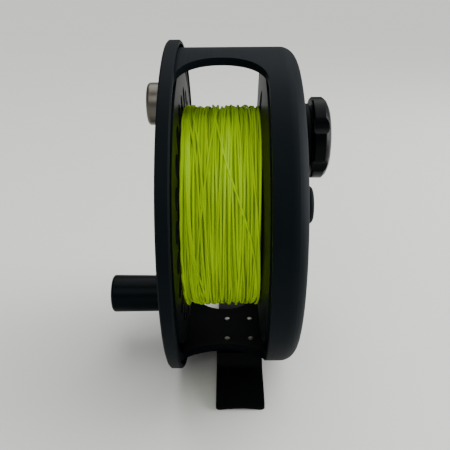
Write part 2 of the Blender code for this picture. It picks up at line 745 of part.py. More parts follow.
def make_drag_yoke(axis):
    """A flat ring with two ears: the stem's thread draws the top one, a pin guides the bottom one."""
    yoke = ring("drag_yoke", YOKE_BORE, YOKE_R, YOKE_FRONT, YOKE_REAR, "drag", axis, MEDIUM_STEPS)
    ring_overlap = YOKE_R - YOKE_EAR_R
    for name, side in (("top_ear", 1), ("bottom_ear", -1)):
        ear = pegs(name, [(side * KNOB_OFFSET, 0.0)], YOKE_EAR_R, YOKE_FRONT, YOKE_REAR, axis, SMALL_STEPS)
        fuse(yoke, ear)
        ends = sorted((side * ring_overlap, side * KNOB_OFFSET))
        low = (ends[0], -YOKE_EAR_R, YOKE_FRONT)
        high = (ends[1], YOKE_EAR_R, YOKE_REAR)
        fuse(yoke, box(name + "_neck", low, high, None, axis))
    low, high = YOKE_FRONT - OVERCUT, YOKE_REAR + OVERCUT
    cut(yoke, pegs("yoke_thread", [(KNOB_OFFSET, 0.0)], STEM_R + RUN, low, high, axis, SMALL_STEPS))
    cut(yoke, pegs("yoke_guide", [(-KNOB_OFFSET, 0.0)], YOKE_PIN_R + RUN, low, high, axis, SMALL_STEPS))
    pin_low = YOKE_FRONT - YOKE_TRAVEL - RUN
    sections = [(YOKE_PIN_R, pin_low, BACK_INNER + YOKE_PIN_SEAT - GAP)]
    pin = rod("yoke_pin", sections, "steel", axis, SMALL_STEPS)
    pin.location = (-KNOB_OFFSET, 0.0, 0.0)


def make_drag_disc(axis):
    """The drag disc on its one-way roller clutch, faced with a cork ring."""
    profile = [
        (DISC_BORE, CLUTCH_AT),
        (DISC_BORE, DISC_REAR),
        (DISC_R, DISC_REAR),
        (DISC_R, DISC_FRONT),
        (DISC_HUB_R, DISC_FRONT),
        (DISC_HUB_R, CLUTCH_AT),
    ]
    turned("drag_disc", profile, "drag", axis, MEDIUM_STEPS)
    ring("cork_ring", DISC_BORE + GAP, CORK_R, CORK_FRONT, CORK_REAR, "cork", axis, MEDIUM_STEPS)
    clutch_rear = CLUTCH_AT + CLUTCH
    ring("roller_clutch", CLUTCH_BORE, CLUTCH_R, CLUTCH_AT, clutch_rear, "bearing", axis, MEDIUM_STEPS)


def foot_screw_places():
    places = []
    for side in (-1, 1):
        for end in (-1, 1):
            places.append((side * FOOT_SCREW_X / 2, end * FOOT_SCREW_Y / 2))
    return places


def foot_outline():
    """The foot seen from the side, from the far tip over the saddle pad to the near tip."""
    tip, pad = FOOT_LENGTH / 2, FOOT_PAD / 2
    pad_top = AXIS_HEIGHT - math.sqrt((FRAME_R + GAP) ** 2 - pad**2) + FOOT_PAD_LIP
    half = []
    for index in range(RAMP_STEPS + 1):
        share = index / RAMP_STEPS
        along = tip + (pad + FOOT_PAD_SLOPE - tip) * share
        rise = FOOT_TIP + (FOOT_SHOULDER - FOOT_TIP) * math.sin(share * math.pi / 2)
        half.append((along, rise))
    half.append((pad, pad_top))
    mirrored = [(-along, rise) for along, rise in reversed(half)]
    return [(tip, 0.0)] + half + mirrored + [(-tip, 0.0)]


def extruded(name, outline, depth, rotation, finish, parent):
    """A flat outline drawn as a 2D curve, thickened evenly to both sides and turned into place."""
    curve = bpy.data.curves.new(name, "CURVE")
    curve.dimensions = "2D"
    curve.fill_mode = "BOTH"
    curve.extrude = depth / 2
    spline = curve.splines.new("POLY")
    spline.points.add(len(outline) - 1)
    spline.use_cyclic_u = True
    for target, point in zip(spline.points, outline):
        target.co = (*point, 0.0, 1.0)
    sketch = bpy.data.objects.new(name, curve)
    sketch.rotation_euler = rotation
    CUTTERS.objects.link(sketch)
    bpy.context.view_layer.update()
    mesh = bpy.data.meshes.new_from_object(sketch.evaluated_get(bpy.context.evaluated_depsgraph_get()))
    mesh.transform(sketch.matrix_world)
    bpy.data.objects.remove(sketch, do_unlink=True)
    shape = bmesh.new()
    shape.from_mesh(mesh)
    bmesh.ops.remove_doubles(shape, verts=shape.verts, dist=0.000001)
    bmesh.ops.recalc_face_normals(shape, faces=shape.faces)
    shape.to_mesh(mesh)
    shape.free()
    return place(name, mesh, finish, parent)


def foot_plan():
    """The foot seen from above: a bar with rounded corners."""
    tip, side = FOOT_LENGTH / 2, FOOT_WIDTH / 2
    across, along = side - FOOT_CORNER, tip - FOOT_CORNER
    outline = []
    corners = ((across, along), (-across, along), (-across, -along), (across, -along))
    for index, corner in enumerate(corners):
        start = QUARTER_TURN * index
        outline += arc(corner, FOOT_CORNER, start, start + QUARTER_TURN, CORNER_STEPS)
    return outline


def make_foot(foot_mount, axis):
    """A tapered saddle: its pad seats under the bottom bar, its underside is hollow between flat lands."""
    tip = FOOT_LENGTH / 2
    side_on = (math.pi / 2, 0.0, math.pi / 2)
    foot = extruded("reel_foot", foot_outline(), FOOT_WIDTH + 2 * OVERCUT, side_on, "foot", foot_mount)
    plan = extruded("foot_plan", foot_plan(), FRAME_R, (0.0, 0.0, 0.0), None, foot_mount)
    combine(foot, plan, "INTERSECT")
    seat = rod("frame_seat", [(FRAME_R + GAP, FRAME_FRONT, BACK_OUTER)], None, axis, LARGE_STEPS)
    cut(foot, seat)
    half_channel = FOOT_WIDTH / 2 - FOOT_LAND
    channel_r = (half_channel**2 + FOOT_CHANNEL_DEPTH**2) / (2 * FOOT_CHANNEL_DEPTH)
    sections = [(channel_r, -tip - OVERCUT, tip + OVERCUT)]
    channel = rod("foot_channel", sections, None, foot_mount, LARGE_STEPS)
    channel.rotation_euler = (math.pi / 2, 0.0, 0.0)
    channel.location = (0.0, 0.0, FOOT_CHANNEL_DEPTH - channel_r)
    cut(foot, channel)

    bar_inner = AXIS_HEIGHT - math.sqrt(FRAME_INNER_R**2 - (FOOT_SCREW_Y / 2) ** 2)
    head_top = FOOT_SCREW_SINK + FOOT_SCREW_HEAD
    screw_sections = [
        (FOOT_SCREW_R, head_top, bar_inner + FOOT_SCREW_PROUD),
        (FOOT_SCREW_HEAD_R, FOOT_SCREW_SINK, head_top),
    ]
    hole_sections = [
        (FOOT_SCREW_R + GAP, head_top + GAP, FRAME_R / 2),
        (FOOT_SCREW_HEAD_R + GAP, -OVERCUT, head_top + GAP),
    ]
    for index, (x, y) in enumerate(foot_screw_places()):
        hole = rod(f"foot_hole_{index + 1}", hole_sections, None, foot_mount, SMALL_STEPS)
        screw = rod(f"foot_screw_{index + 1}", screw_sections, "steel", foot_mount, SMALL_STEPS)
        hole.location = (x, y, 0.0)
        screw.location = (x, y, 0.0)
        cut(foot, hole)


# Local Z of the axis empties runs along world +X, local X runs up and local Y faces the window in front
ALONG_X = (0.0, -math.pi / 2, math.pi)
reel_axis = empty("reel_axis", (CENTRE_SHIFT, 0.0, AXIS_HEIGHT), ALONG_X)
spool_axis = empty("spool_axis", (0.0, 0.0, 0.0), (0.0, 0.0, SPOOL_TURN), reel_axis)
handle_axis = empty("handle_axis", (-CRANK, 0.0, 0.0), parent=spool_axis)
knob_axis = empty("knob_axis", (KNOB_OFFSET, 0.0, 0.0), parent=reel_axis)
foot_mount = empty("foot_mount", (CENTRE_SHIFT + FOOT_AT, 0.0, 0.0))

make_frame(reel_axis, foot_mount)
make_spindle(reel_axis)
make_spool(spool_axis)
make_line(spool_axis)
make_counterweight(spool_axis)
make_handle(handle_axis)
make_drag_knob(knob_axis)
make_drag_yoke(reel_axis)
make_drag_disc(reel_axis)
make_foot(foot_mount, reel_axis)
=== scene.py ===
import json
import math
import random

import bpy
from mathutils import Euler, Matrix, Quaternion, Vector


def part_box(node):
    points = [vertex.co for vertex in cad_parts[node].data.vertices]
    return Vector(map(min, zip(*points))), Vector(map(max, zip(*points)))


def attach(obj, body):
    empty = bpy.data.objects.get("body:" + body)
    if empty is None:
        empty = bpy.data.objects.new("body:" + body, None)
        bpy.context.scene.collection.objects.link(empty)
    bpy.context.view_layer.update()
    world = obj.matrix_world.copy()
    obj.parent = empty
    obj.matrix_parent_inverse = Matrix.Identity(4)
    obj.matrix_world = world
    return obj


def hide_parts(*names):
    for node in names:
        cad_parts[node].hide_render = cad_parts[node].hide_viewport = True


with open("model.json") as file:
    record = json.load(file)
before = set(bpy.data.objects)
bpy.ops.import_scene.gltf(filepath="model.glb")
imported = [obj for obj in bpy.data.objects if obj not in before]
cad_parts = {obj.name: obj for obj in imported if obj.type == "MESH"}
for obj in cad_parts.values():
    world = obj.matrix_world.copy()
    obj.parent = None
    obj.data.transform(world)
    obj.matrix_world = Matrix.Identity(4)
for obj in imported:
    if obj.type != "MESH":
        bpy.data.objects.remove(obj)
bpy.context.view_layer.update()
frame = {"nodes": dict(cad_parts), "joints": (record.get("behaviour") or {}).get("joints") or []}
mm = 0.001
print("frame loaded:", len(frame["nodes"]), "nodes")


def middleOf(node):
    return [(low + high) / 2 for low, high in zip(*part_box(node))]


joints = {joint["name"]: joint for joint in frame["joints"]}
axisZ = joints["spool_spin"]["pos_m"][2]  # the spool's axis runs along X at this height
knobZ = joints["drag_knob_turn"]["pos_m"][2]
spoolAxis = (0.0, axisZ)  # axes along X are given as (y, z)
knobAxis = (0.0, knobZ)
gripAxis = tuple(middleOf("handle_grip")[1:])
weightAxis = tuple(middleOf("counterweight")[1:])
midX = middleOf("line_core")[0]  # stations are measured from the middle of the line
spoolTurn = math.radians(7.0)  # the handle rests a little behind the bottom
footScrews = [f"foot_screw_{number}" for number in range(1, 5)]
mergeDistance = 1e-6
overcut = 2 * mm  # cutters reach this far past what they cut
smoothAngle = math.radians(40.0)


# small tools for working as by hand

def deselectAll():
    if bpy.context.object and bpy.context.object.mode != "OBJECT":
        bpy.ops.object.mode_set(mode="OBJECT")
    bpy.ops.object.select_all(action="DESELECT")


def pick(piece):
    deselectAll()
    piece.select_set(True)
    bpy.context.view_layer.objects.active = piece


def editAll(piece):
    pick(piece)
    bpy.ops.object.mode_set(mode="EDIT")
    bpy.ops.mesh.select_all(action="SELECT")


def applyModifier(piece, kind, **settings):
    pick(piece)
    modifier = piece.modifiers.new(kind.lower(), kind)
    for key, value in settings.items():
        setattr(modifier, key, value)
    bpy.ops.object.modifier_apply(modifier=modifier.name)


def drawnOutline(name, points):
    # extrude one vertex from point to point, and stay in edit mode with all of it selected
    deselectAll()
    bpy.ops.mesh.primitive_plane_add(size=1.0, location=(0.0, 0.0, 0.0))
    piece = bpy.context.object
    piece.name = name
    piece.data.name = name
    editAll(piece)
    bpy.ops.mesh.merge(type="CENTER")
    here = Vector((0.0, 0.0, 0.0))
    for index, point in enumerate(points):
        there = Vector(point)
        if index:
            bpy.ops.mesh.extrude_region_move(TRANSFORM_OT_translate={"value": there - here})
        else:
            bpy.ops.transform.translate(value=there)
        here = there
    bpy.ops.mesh.select_all(action="SELECT")
    bpy.ops.mesh.remove_doubles(threshold=mergeDistance)
    bpy.ops.mesh.select_all(action="SELECT")
    return piece


def turnedPiece(name, profile, axisPoint, steps, upright=False):
    # spin (station, radius) points about an axis along X, or along Z if upright
    if upright:
        points = [(axisPoint[0] + radius, axisPoint[1], station) for station, radius in profile]
        centre, axis = (*axisPoint, 0.0), (0, 0, 1)
    else:
        points = [(station, axisPoint[0], axisPoint[1] + radius) for station, radius in profile]
        centre, axis = (0.0, *axisPoint), (1, 0, 0)
    piece = drawnOutline(name, points)
    bpy.ops.mesh.spin(steps=steps, angle=2 * math.pi, center=centre, axis=axis)
    bpy.ops.mesh.select_all(action="SELECT")
    bpy.ops.mesh.remove_doubles(threshold=2 * mergeDistance)
    bpy.ops.mesh.normals_make_consistent(inside=False)
    bpy.ops.object.mode_set(mode="OBJECT")
    return piece


def flatPrism(name, outline, direction):
    # fill an outline and extrude the face
    piece = drawnOutline(name, closed(outline))
    bpy.ops.mesh.edge_face_add()
    bpy.ops.mesh.extrude_region_move(TRANSFORM_OT_translate={"value": direction})
    bpy.ops.mesh.select_all(action="SELECT")
    bpy.ops.mesh.normals_make_consistent(inside=False)
    bpy.ops.object.mode_set(mode="OBJECT")
    return piece


def closed(points):
    return points + [points[0]]


def fromMiddle(profile):
    return [(midX + station, radius) for station, radius in profile]


def along(low, high, count):
    return [low + (high - low) * index / count for index in range(count + 1)]


def arcPoints(centreStation, centreRadius, radius, start, end, count):
    points = []
    for index in range(count + 1):
        angle = math.radians(start + (end - start) * index / count)
        points.append((centreStation + radius * math.cos(angle), centreRadius + radius * math.sin(angle)))
    return points


def aroundAxis(radius, angle):
    # (y, z) of a point round the spool's axis: angle 0 is straight up, positive leans to the front window
    return -radius * math.sin(angle), axisZ + radius * math.cos(angle)


def rodAlongX(radius, low, high, y, z, sides=48):
    deselectAll()
    bpy.ops.mesh.primitive_cylinder_add(vertices=sides, radius=radius, depth=high - low,
                                        location=((low + high) / 2, y, z), rotation=(0.0, math.pi / 2, 0.0))
    return bpy.context.object


def uprightRod(radius, low, high, x, y, sides):
    deselectAll()
    bpy.ops.mesh.primitive_cylinder_add(vertices=sides, radius=radius, depth=high - low,
                                        location=(x, y, (low + high) / 2))
    return bpy.context.object


def cutWith(piece, cutters, operation="DIFFERENCE"):
    # several cutters are joined before the cut
    deselectAll()
    for cutter in cutters:
        cutter.select_set(True)
    bpy.context.view_layer.objects.active = cutters[0]
    if len(cutters) > 1:
        bpy.ops.object.join()
    cutter = cutters[0]
    applyModifier(piece, "BOOLEAN", operation=operation, object=cutter, solver="EXACT")
    bpy.data.objects.remove(cutter, do_unlink=True)


def weldCuts(piece, distance):
    # short edges that a cut leaves behind would spoil the bevel
    editAll(piece)
    bpy.ops.mesh.remove_doubles(threshold=distance)
    bpy.ops.mesh.dissolve_degenerate(threshold=distance / 4)
    bpy.ops.object.mode_set(mode="OBJECT")


def softenEdges(piece, width, segments, angle):
    applyModifier(piece, "BEVEL", width=width, segments=segments, limit_method="ANGLE",
                  angle_limit=math.radians(angle), use_clamp_overlap=True, harden_normals=False)


def closeGaps(piece):
    # a weld or a bevel can drop a small face, so each open loop of edges is filled again
    pick(piece)
    bpy.ops.object.mode_set(mode="EDIT")
    bpy.ops.mesh.select_mode(type="EDGE")
    bpy.ops.mesh.select_all(action="DESELECT")
    bpy.ops.mesh.select_non_manifold(extend=False, use_wire=False, use_boundary=True, use_multi_face=False,
                                     use_non_contiguous=False, use_verts=False)
    bpy.ops.mesh.fill_holes(sides=0)
    bpy.ops.mesh.select_mode(type="VERT")
    bpy.ops.mesh.select_all(action="SELECT")
    bpy.ops.mesh.normals_make_consistent(inside=False)
    bpy.ops.object.mode_set(mode="OBJECT")


def shadeRound(piece):
    pick(piece)
    bpy.ops.object.shade_smooth_by_angle(angle=smoothAngle)
    applyModifier(piece, "WEIGHTED_NORMAL", mode="FACE_AREA", weight=50, keep_sharp=True)


def finishPiece(piece, body, material, replaced):
    piece.data.materials.clear()
    piece.data.materials.append(material)
    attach(piece, body)
    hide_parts(replaced)


# shader maths as plain expressions

class Value:
    def __init__(self, maker, socket):
        self.maker = maker
        self.socket = socket

    def __add__(self, other):
        return self.maker.math("ADD", self, other)

    def __radd__(self, other):
        return self.maker.math("ADD", other, self)

    def __sub__(self, other):
        return self.maker.math("SUBTRACT", self, other)

    def __rsub__(self, other):
        return self.maker.math("SUBTRACT", other, self)

    def __mul__(self, other):
        return self.maker.math("MULTIPLY", self, other)

    def __rmul__(self, other):
        return self.maker.math("MULTIPLY", other, self)

    def __truediv__(self, other):
        return self.maker.math("DIVIDE", self, other)

    def __rtruediv__(self, other):
        return self.maker.math("DIVIDE", other, self)


class Finish:
    sockets = {"colour": "Base Color", "roughness": "Roughness", "metallic": "Metallic", "coat": "Coat Weight",
               "coatRoughness": "Coat Roughness", "specular": "Specular IOR Level"}

    def __init__(self, name):
        self.material = bpy.data.materials.new(name)
        self.material.use_nodes = True
        self.tree = self.material.node_tree
        self.shader = self.tree.nodes["Principled BSDF"]
        self.place = self.node("ShaderNodeTexCoord", "Object")

    def put(self, socket, value):
        if isinstance(value, Value):
            self.tree.links.new(value.socket, socket)
        else:
            socket.default_value = value

    def node(self, kind, output=0, settings=None, **sockets):
        # a socket is given by its name, or by its number after an i
        made = self.tree.nodes.new(kind)
        for key, value in (settings or {}).items():
            setattr(made, key, value)
        for key, value in sockets.items():
            numbered = key[0] == "i" and key[1:].isdigit()
            self.put(made.inputs[int(key[1:]) if numbered else key], value)
        return Value(self, made.outputs[output])

    def math(self, operation, first, second=None):
        sockets = {"i0": first}
        if second is not None:
            sockets["i1"] = second
        return self.node("ShaderNodeMath", settings={"operation": operation}, **sockets)

    def vectorMath(self, operation, first, second):
        return self.node("ShaderNodeVectorMath", settings={"operation": operation}, i0=first, i1=second)

    def axes(self, offset):
        moved = self.vectorMath("SUBTRACT", self.place, offset)
        split = self.node("ShaderNodeSeparateXYZ", i0=moved).socket.node
        return [Value(self, output) for output in split.outputs]

    def joinAxes(self, x, y, z):
        return self.node("ShaderNodeCombineXYZ", i0=x, i1=y, i2=z)

    def noise(self, scale, detail, rough, stretch=None, vector=None):
        where = vector or self.place
        if stretch:
            where = self.vectorMath("MULTIPLY", where, stretch)
        return self.node("ShaderNodeTexNoise", Vector=where, Scale=scale, Detail=detail, Roughness=rough)

    def ramp(self, value, low, high):
        return self.node("ShaderNodeMapRange", Value=value, i1=low, i2=high)

    def blend(self, share, first, second):
        return self.node("ShaderNodeMix", 2, {"data_type": "RGBA"}, i0=share, i6=first, i7=second)

    def bump(self, height, strength, distance):
        normal = self.node("ShaderNodeBump", Height=height, Strength=strength, Distance=distance)
        self.put(self.shader.inputs["Normal"], normal)

    def radius(self, y, z):
        return self.math("SQRT", y * y + z * z)

    def set(self, **values):
        for key, value in values.items():
            self.put(self.shader.inputs[self.sockets[key]], value)


def colour(red, green, blue):
    return (red, green, blue, 1.0)


# black anodised aluminium: fine turning rings, soft blotches, a little dust
anodised = {"colour": colour(0.0015, 0.0034, 0.0052), "pale": colour(0.0042, 0.007, 0.009),
            "roughness": 0.55, "specular": 0.046, "rings": 5200.0, "blotches": 55.0, "dust": 2600.0,
            "grain": 5200.0, "coat": 0.2, "coatChange": 0.16, "coatRoughness": 0.3, "bump": 0.1,
            "bumpDepth": 0.02 * mm}


def anodisedFinish(name, polished=None):
    a = anodised
    finish = Finish(name)
    x, y, z = finish.axes((midX, *spoolAxis))
    radius = finish.radius(y, z)
    rings = finish.noise(1.0, 2.0, 0.5, vector=finish.joinAxes(x * a["rings"], radius * a["rings"], 0.0))
    blotches = finish.noise(a["blotches"], 5.0, 0.6)
    dust = finish.ramp(finish.noise(a["dust"], 2.0, 0.5), 0.66, 0.8)
    share = finish.ramp(blotches, 0.35, 0.8) * 0.55 + dust * 0.25
    finish.set(colour=finish.blend(share, a["colour"], a["pale"]), metallic=0.0, specular=a["specular"],
               roughness=a["roughness"] + (blotches - 0.5) * 0.14 + (rings - 0.5) * 0.1)
    if polished:  # half width and radius of a smoother skin between the flanges
        inside = finish.math("LESS_THAN", finish.math("ABSOLUTE", x), polished[0])
        within = finish.math("LESS_THAN", radius, polished[1])
        finish.set(coat=inside * within * (a["coat"] + (blotches - 0.5) * a["coatChange"]),
                   coatRoughness=a["coatRoughness"])
    grain = finish.noise(a["grain"], 2.0, 0.6)
    finish.bump(rings * 0.6 + grain * 0.4, a["bump"], a["bumpDepth"])
    return finish.material


# turned stainless steel: tool rings and darker stains
steel = {"rings": 3800.0, "stain": 260.0, "dark": (0.72, 0.7, 0.66), "roughChange": 0.22, "bump": 0.25,
         "bumpDepth": 0.02 * mm}


def steelFinish(name, axisPoint, tone, roughness):
    finish = Finish(name)
    x, y, z = finish.axes((midX, *axisPoint))
    radius = finish.radius(y, z)
    turned = finish.joinAxes(x * steel["rings"], radius * steel["rings"], 0.0)
    rings = finish.noise(1.0, 3.0, 0.6, vector=turned)
    stain = finish.ramp(finish.noise(steel["stain"], 4.0, 0.6), 0.3, 0.75)
    darker = colour(*(part * share for part, share in zip(tone, steel["dark"])))
    finish.set(colour=finish.blend(stain, darker, colour(*tone)), metallic=1.0,
               roughness=roughness + (rings - 0.5) * steel["roughChange"])
    finish.bump(rings, steel["bump"], steel["bumpDepth"])
    return finish.material


print("finishes ready")

# camera at the photograph's angle, fitted to the frame's circles and bars
cameraSetup = {"x": midX + 2.35 * mm, "distance": 177.9 * mm, "height": 20.2, "pitch": 22.15, "yaw": 0.56,
               "roll": -0.5, "lens": 46.4, "sensor": 36.0, "near": 5 * mm, "far": 60.0}


def makeCamera():
    s = cameraSetup
    data = bpy.data.cameras.new("camera")
    data.lens = s["lens"]
    data.sensor_width = s["sensor"]
    data.clip_start = s["near"]
    data.clip_end = s["far"]
    camera = bpy.data.objects.new("camera", data)
    lift = math.radians(s["height"])
    camera.location = (s["x"], -s["distance"] * math.cos(lift), axisZ + s["distance"] * math.sin(lift))
    aim = Euler((math.radians(90.0 - s["pitch"]), 0.0, math.radians(s["yaw"]))).to_quaternion()
    camera.rotation_euler = (aim @ Quaternion((0.0, 0.0, 1.0), math.radians(s["roll"]))).to_euler()
    bpy.context.scene.collection.objects.link(camera)
    bpy.context.scene.camera = camera


makeCamera()

# pale floor under an even, soft light
stageSetup = {"floor": colour(0.71, 0.715, 0.69), "floorDark": 0.95, "size": 40.0,
              "world": colour(1.0, 1.0, 0.985), "worldStrength": 0.38}
sunSetup = {"from": (0.3, 0.28, 1.0), "width": 76.0, "strength": 3.1}
lampAim = (0.0, 0.0, 0.05)
lampSetup = (  # name, place, size and power
    ("right", (0.6, 0.05, 0.14), 0.5, 6.8),
    ("front", (-0.15, -0.65, 0.62), 0.5, 1.7),
)


def makeFloor():
    deselectAll()
    bpy.ops.mesh.primitive_plane_add(size=stageSetup["size"], location=(0.0, 0.0, 0.0))
    floor = bpy.context.object
    floor.name = "floor"
    finish = Finish("floor_paper")
    cloud = finish.noise(3.0, 3.0, 0.5)
    low = colour(*(part * stageSetup["floorDark"] for part in stageSetup["floor"][:3]))
    finish.set(colour=finish.blend(cloud, low, stageSetup["floor"]), roughness=0.9, specular=0.1)
    floor.data.materials.append(finish.material)


def makeLights():
    world = bpy.context.scene.world or bpy.data.worlds.new("world")
    bpy.context.scene.world = world
    world.use_nodes = True
    background = world.node_tree.nodes["Background"]
    background.inputs["Color"].default_value = stageSetup["world"]
    background.inputs["Strength"].default_value = stageSetup["worldStrength"]
    sun = bpy.data.lights.new("ceiling", "SUN")
    sun.energy = sunSetup["strength"]
    sun.angle = math.radians(sunSetup["width"])
    ceiling = bpy.data.objects.new("ceiling", sun)
    ceiling.rotation_euler = Vector(sunSetup["from"]).to_track_quat("Z", "Y").to_euler()
    bpy.context.scene.collection.objects.link(ceiling)
    for name, place, size, power in lampSetup:
        light = bpy.data.lights.new(name, "AREA")
        light.energy = power
        light.size = size
        lamp = bpy.data.objects.new(name, light)
        lamp.location = place
        lamp.rotation_euler = (Vector(lampAim) - Vector(place)).to_track_quat("-Z", "Y").to_euler()
        bpy.context.scene.collection.objects.link(lamp)


makeFloor()
makeLights()
print("camera and stage ready")

# frame: a turned cup with two long windows, an offset boss and a low crown on its back
frameLow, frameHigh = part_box("frame")
frameSizes = {"radius": frameHigh.z - axisZ, "wall": 2.15 * mm, "corner": 4.6 * mm, "back": 20.95 * mm,
              "crown": 1.25 * mm, "inner": 18.85 * mm, "fillet": 1.6 * mm, "front": frameLow.x - midX,
              "windowFront": -11.7 * mm, "windowRear": 12.1 * mm, "bar": math.radians(14.2),
              "blunt": math.radians(6.0), "windowReach": 4 * mm, "bossRadius": 9.85 * mm,
              "bossFace": frameHigh.x - midX, "bossSink": 0.4 * mm, "bossEdge": 0.45 * mm,
              "stemBore": 2.55 * mm, "stemReach": 3 * mm, "spindleBore": 3.15 * mm, "screwHole": 1.08 * mm,
              "screwReach": 18 * mm, "weld": 0.12 * mm, "edge": 0.2 * mm, "steps": 180}


def windowCutter(side):
    # a flat section carried round the wall: it widens from one round end and closes at the other
    s = frameSizes
    middle = midX + (s["windowFront"] + s["windowRear"]) / 2
    half = (s["windowRear"] - s["windowFront"]) / 2
    inner = s["radius"] - s["wall"] - s["windowReach"]
    outer = s["radius"] + s["windowReach"]
    endTurn = half / s["radius"]
    ends = [(s["bar"] + endTurn * (1 - math.cos(turn)), half * math.sin(turn))
            for turn in along(s["blunt"], math.pi / 2, 20)]
    first, last = ends[-1][0], math.pi - ends[-1][0]
    sections = ends + [(angle, half) for angle in along(first, last, 24)[1:-1]]
    sections += [(math.pi - angle, reach) for angle, reach in reversed(ends)]
    start = (middle, 0.0, axisZ + (inner + outer) / 2)
    hub = (middle, 0.0, axisZ)
    deselectAll()
    bpy.ops.mesh.primitive_plane_add(size=1.0, location=start, rotation=(math.pi / 2, 0.0, 0.0))
    cutter = bpy.context.object
    bpy.ops.object.transform_apply(location=True, rotation=True, scale=True)
    editAll(cutter)
    bpy.ops.transform.resize(value=(1.0, 1.0, outer - inner), center_override=start)
    angle, reach = 0.0, 0.5
    for index, (nextAngle, nextReach) in enumerate(sections):
        if index:
            bpy.ops.mesh.extrude_region_move(TRANSFORM_OT_translate={"value": (0.0, 0.0, 0.0)})
        bpy.ops.transform.rotate(value=-side * (nextAngle - angle), orient_axis="X", center_override=hub)
        bpy.ops.transform.resize(value=(nextReach / reach, 1.0, 1.0), center_override=hub)
        angle, reach = nextAngle, nextReach
    bpy.ops.mesh.select_all(action="SELECT")
    bpy.ops.mesh.normals_make_consistent(inside=False)
    bpy.ops.object.mode_set(mode="OBJECT")
    return cutter


def makeFrame():
    s = frameSizes
    crownEdge = s["radius"] - s["corner"]
    innerRadius = s["radius"] - s["wall"]
    profile = [(s["inner"], s["spindleBore"])]
    for radius in along(s["spindleBore"], crownEdge, 10)[:-1]:
        profile.append((s["back"] + s["crown"] * (1 - (radius / crownEdge) ** 2), radius))
    profile += arcPoints(s["back"] - s["corner"], crownEdge, s["corner"], 0, 90, 10)
    profile += [(s["front"], s["radius"]), (s["front"], innerRadius)]
    profile += arcPoints(s["inner"] - s["fillet"], innerRadius - s["fillet"], s["fillet"], 90, 0, 5)
    shell = turnedPiece("reel_frame", closed(fromMiddle(profile)), spoolAxis, s["steps"])
    bossStart = midX + s["inner"] + s["bossSink"]
    bossFace = midX + s["bossFace"]
    bossProfile = [(bossStart, 0.0), (bossStart, s["bossRadius"]),
                   (bossFace - s["bossEdge"], s["bossRadius"]), (bossFace, s["bossRadius"] - s["bossEdge"]),
                   (bossFace, 0.0)]
    cutWith(shell, [turnedPiece("boss", bossProfile, knobAxis, 96)], "UNION")
    for side in (1, -1):
        cutWith(shell, [windowCutter(side)])
    cutWith(shell, [rodAlongX(s["stemBore"], bossStart - s["stemReach"], bossFace + overcut, *knobAxis)])
    holes = []
    for name in footScrews:
        x, y = middleOf(name)[:2]
        holes.append(uprightRod(s["screwHole"], -overcut, s["screwReach"], x, y, 32))
    cutWith(shell, holes)
    weldCuts(shell, s["weld"])
    softenEdges(shell, s["edge"], 3, 38.0)
    closeGaps(shell)
    shadeRound(shell)
    finishPiece(shell, "frame", anodisedFinish("frame_anodised"), "frame")


makeFrame()
print("frame modelled")

# spool: hub, web and arbor, two flanges that slope apart, and the rim outside the frame's front ring
spoolLow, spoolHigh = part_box("spool")
spoolSizes = {"rim": spoolHigh.z - axisZ, "rimWall": 1.1 * mm, "rimFront": spoolLow.x - midX,
              "rimWidth": 3.45 * mm, "rimFloor": 0.9 * mm, "rimEdge": 0.4 * mm, "slope": 2.6 * mm,
              "flange": 41.5 * mm, "space": 11.84 * mm, "dish": 1.94 * mm, "frontSpace": 11.45 * mm,
              "frontDish": 0.95 * mm, "face": 13.6 * mm, "arbor": 20.0 * mm, "bore": 18.0 * mm,
              "webFront": -9.5 * mm, "webRear": -7.0 * mm, "hub": 7.0 * mm, "hubBore": 5.3 * mm,
              "hubFront": -11.0 * mm, "hubRear": 12.0 * mm, "ports": 24, "port": 3.1 * mm,
              "portRing": 32.4 * mm, "crank": 32.85 * mm, "rivet": 1.65 * mm, "weightRing": 32.0 * mm,
              "weightHole": 2.45 * mm, "cutReach": 1 * mm, "polishOver": 0.02 * mm, "polishEdge": 0.3 * mm,
              "weld": 0.05 * mm, "edge": 0.16 * mm, "steps": 192}


def spaceHalf(radius, side="rear"):
    # the line's space is narrowest at the arbor
    s = spoolSizes
    edge, dish = (s["space"], s["dish"]) if side == "rear" else (s["frontSpace"], s["frontDish"])
    return edge - dish * (s["flange"] - radius) / (s["flange"] - s["arbor"])


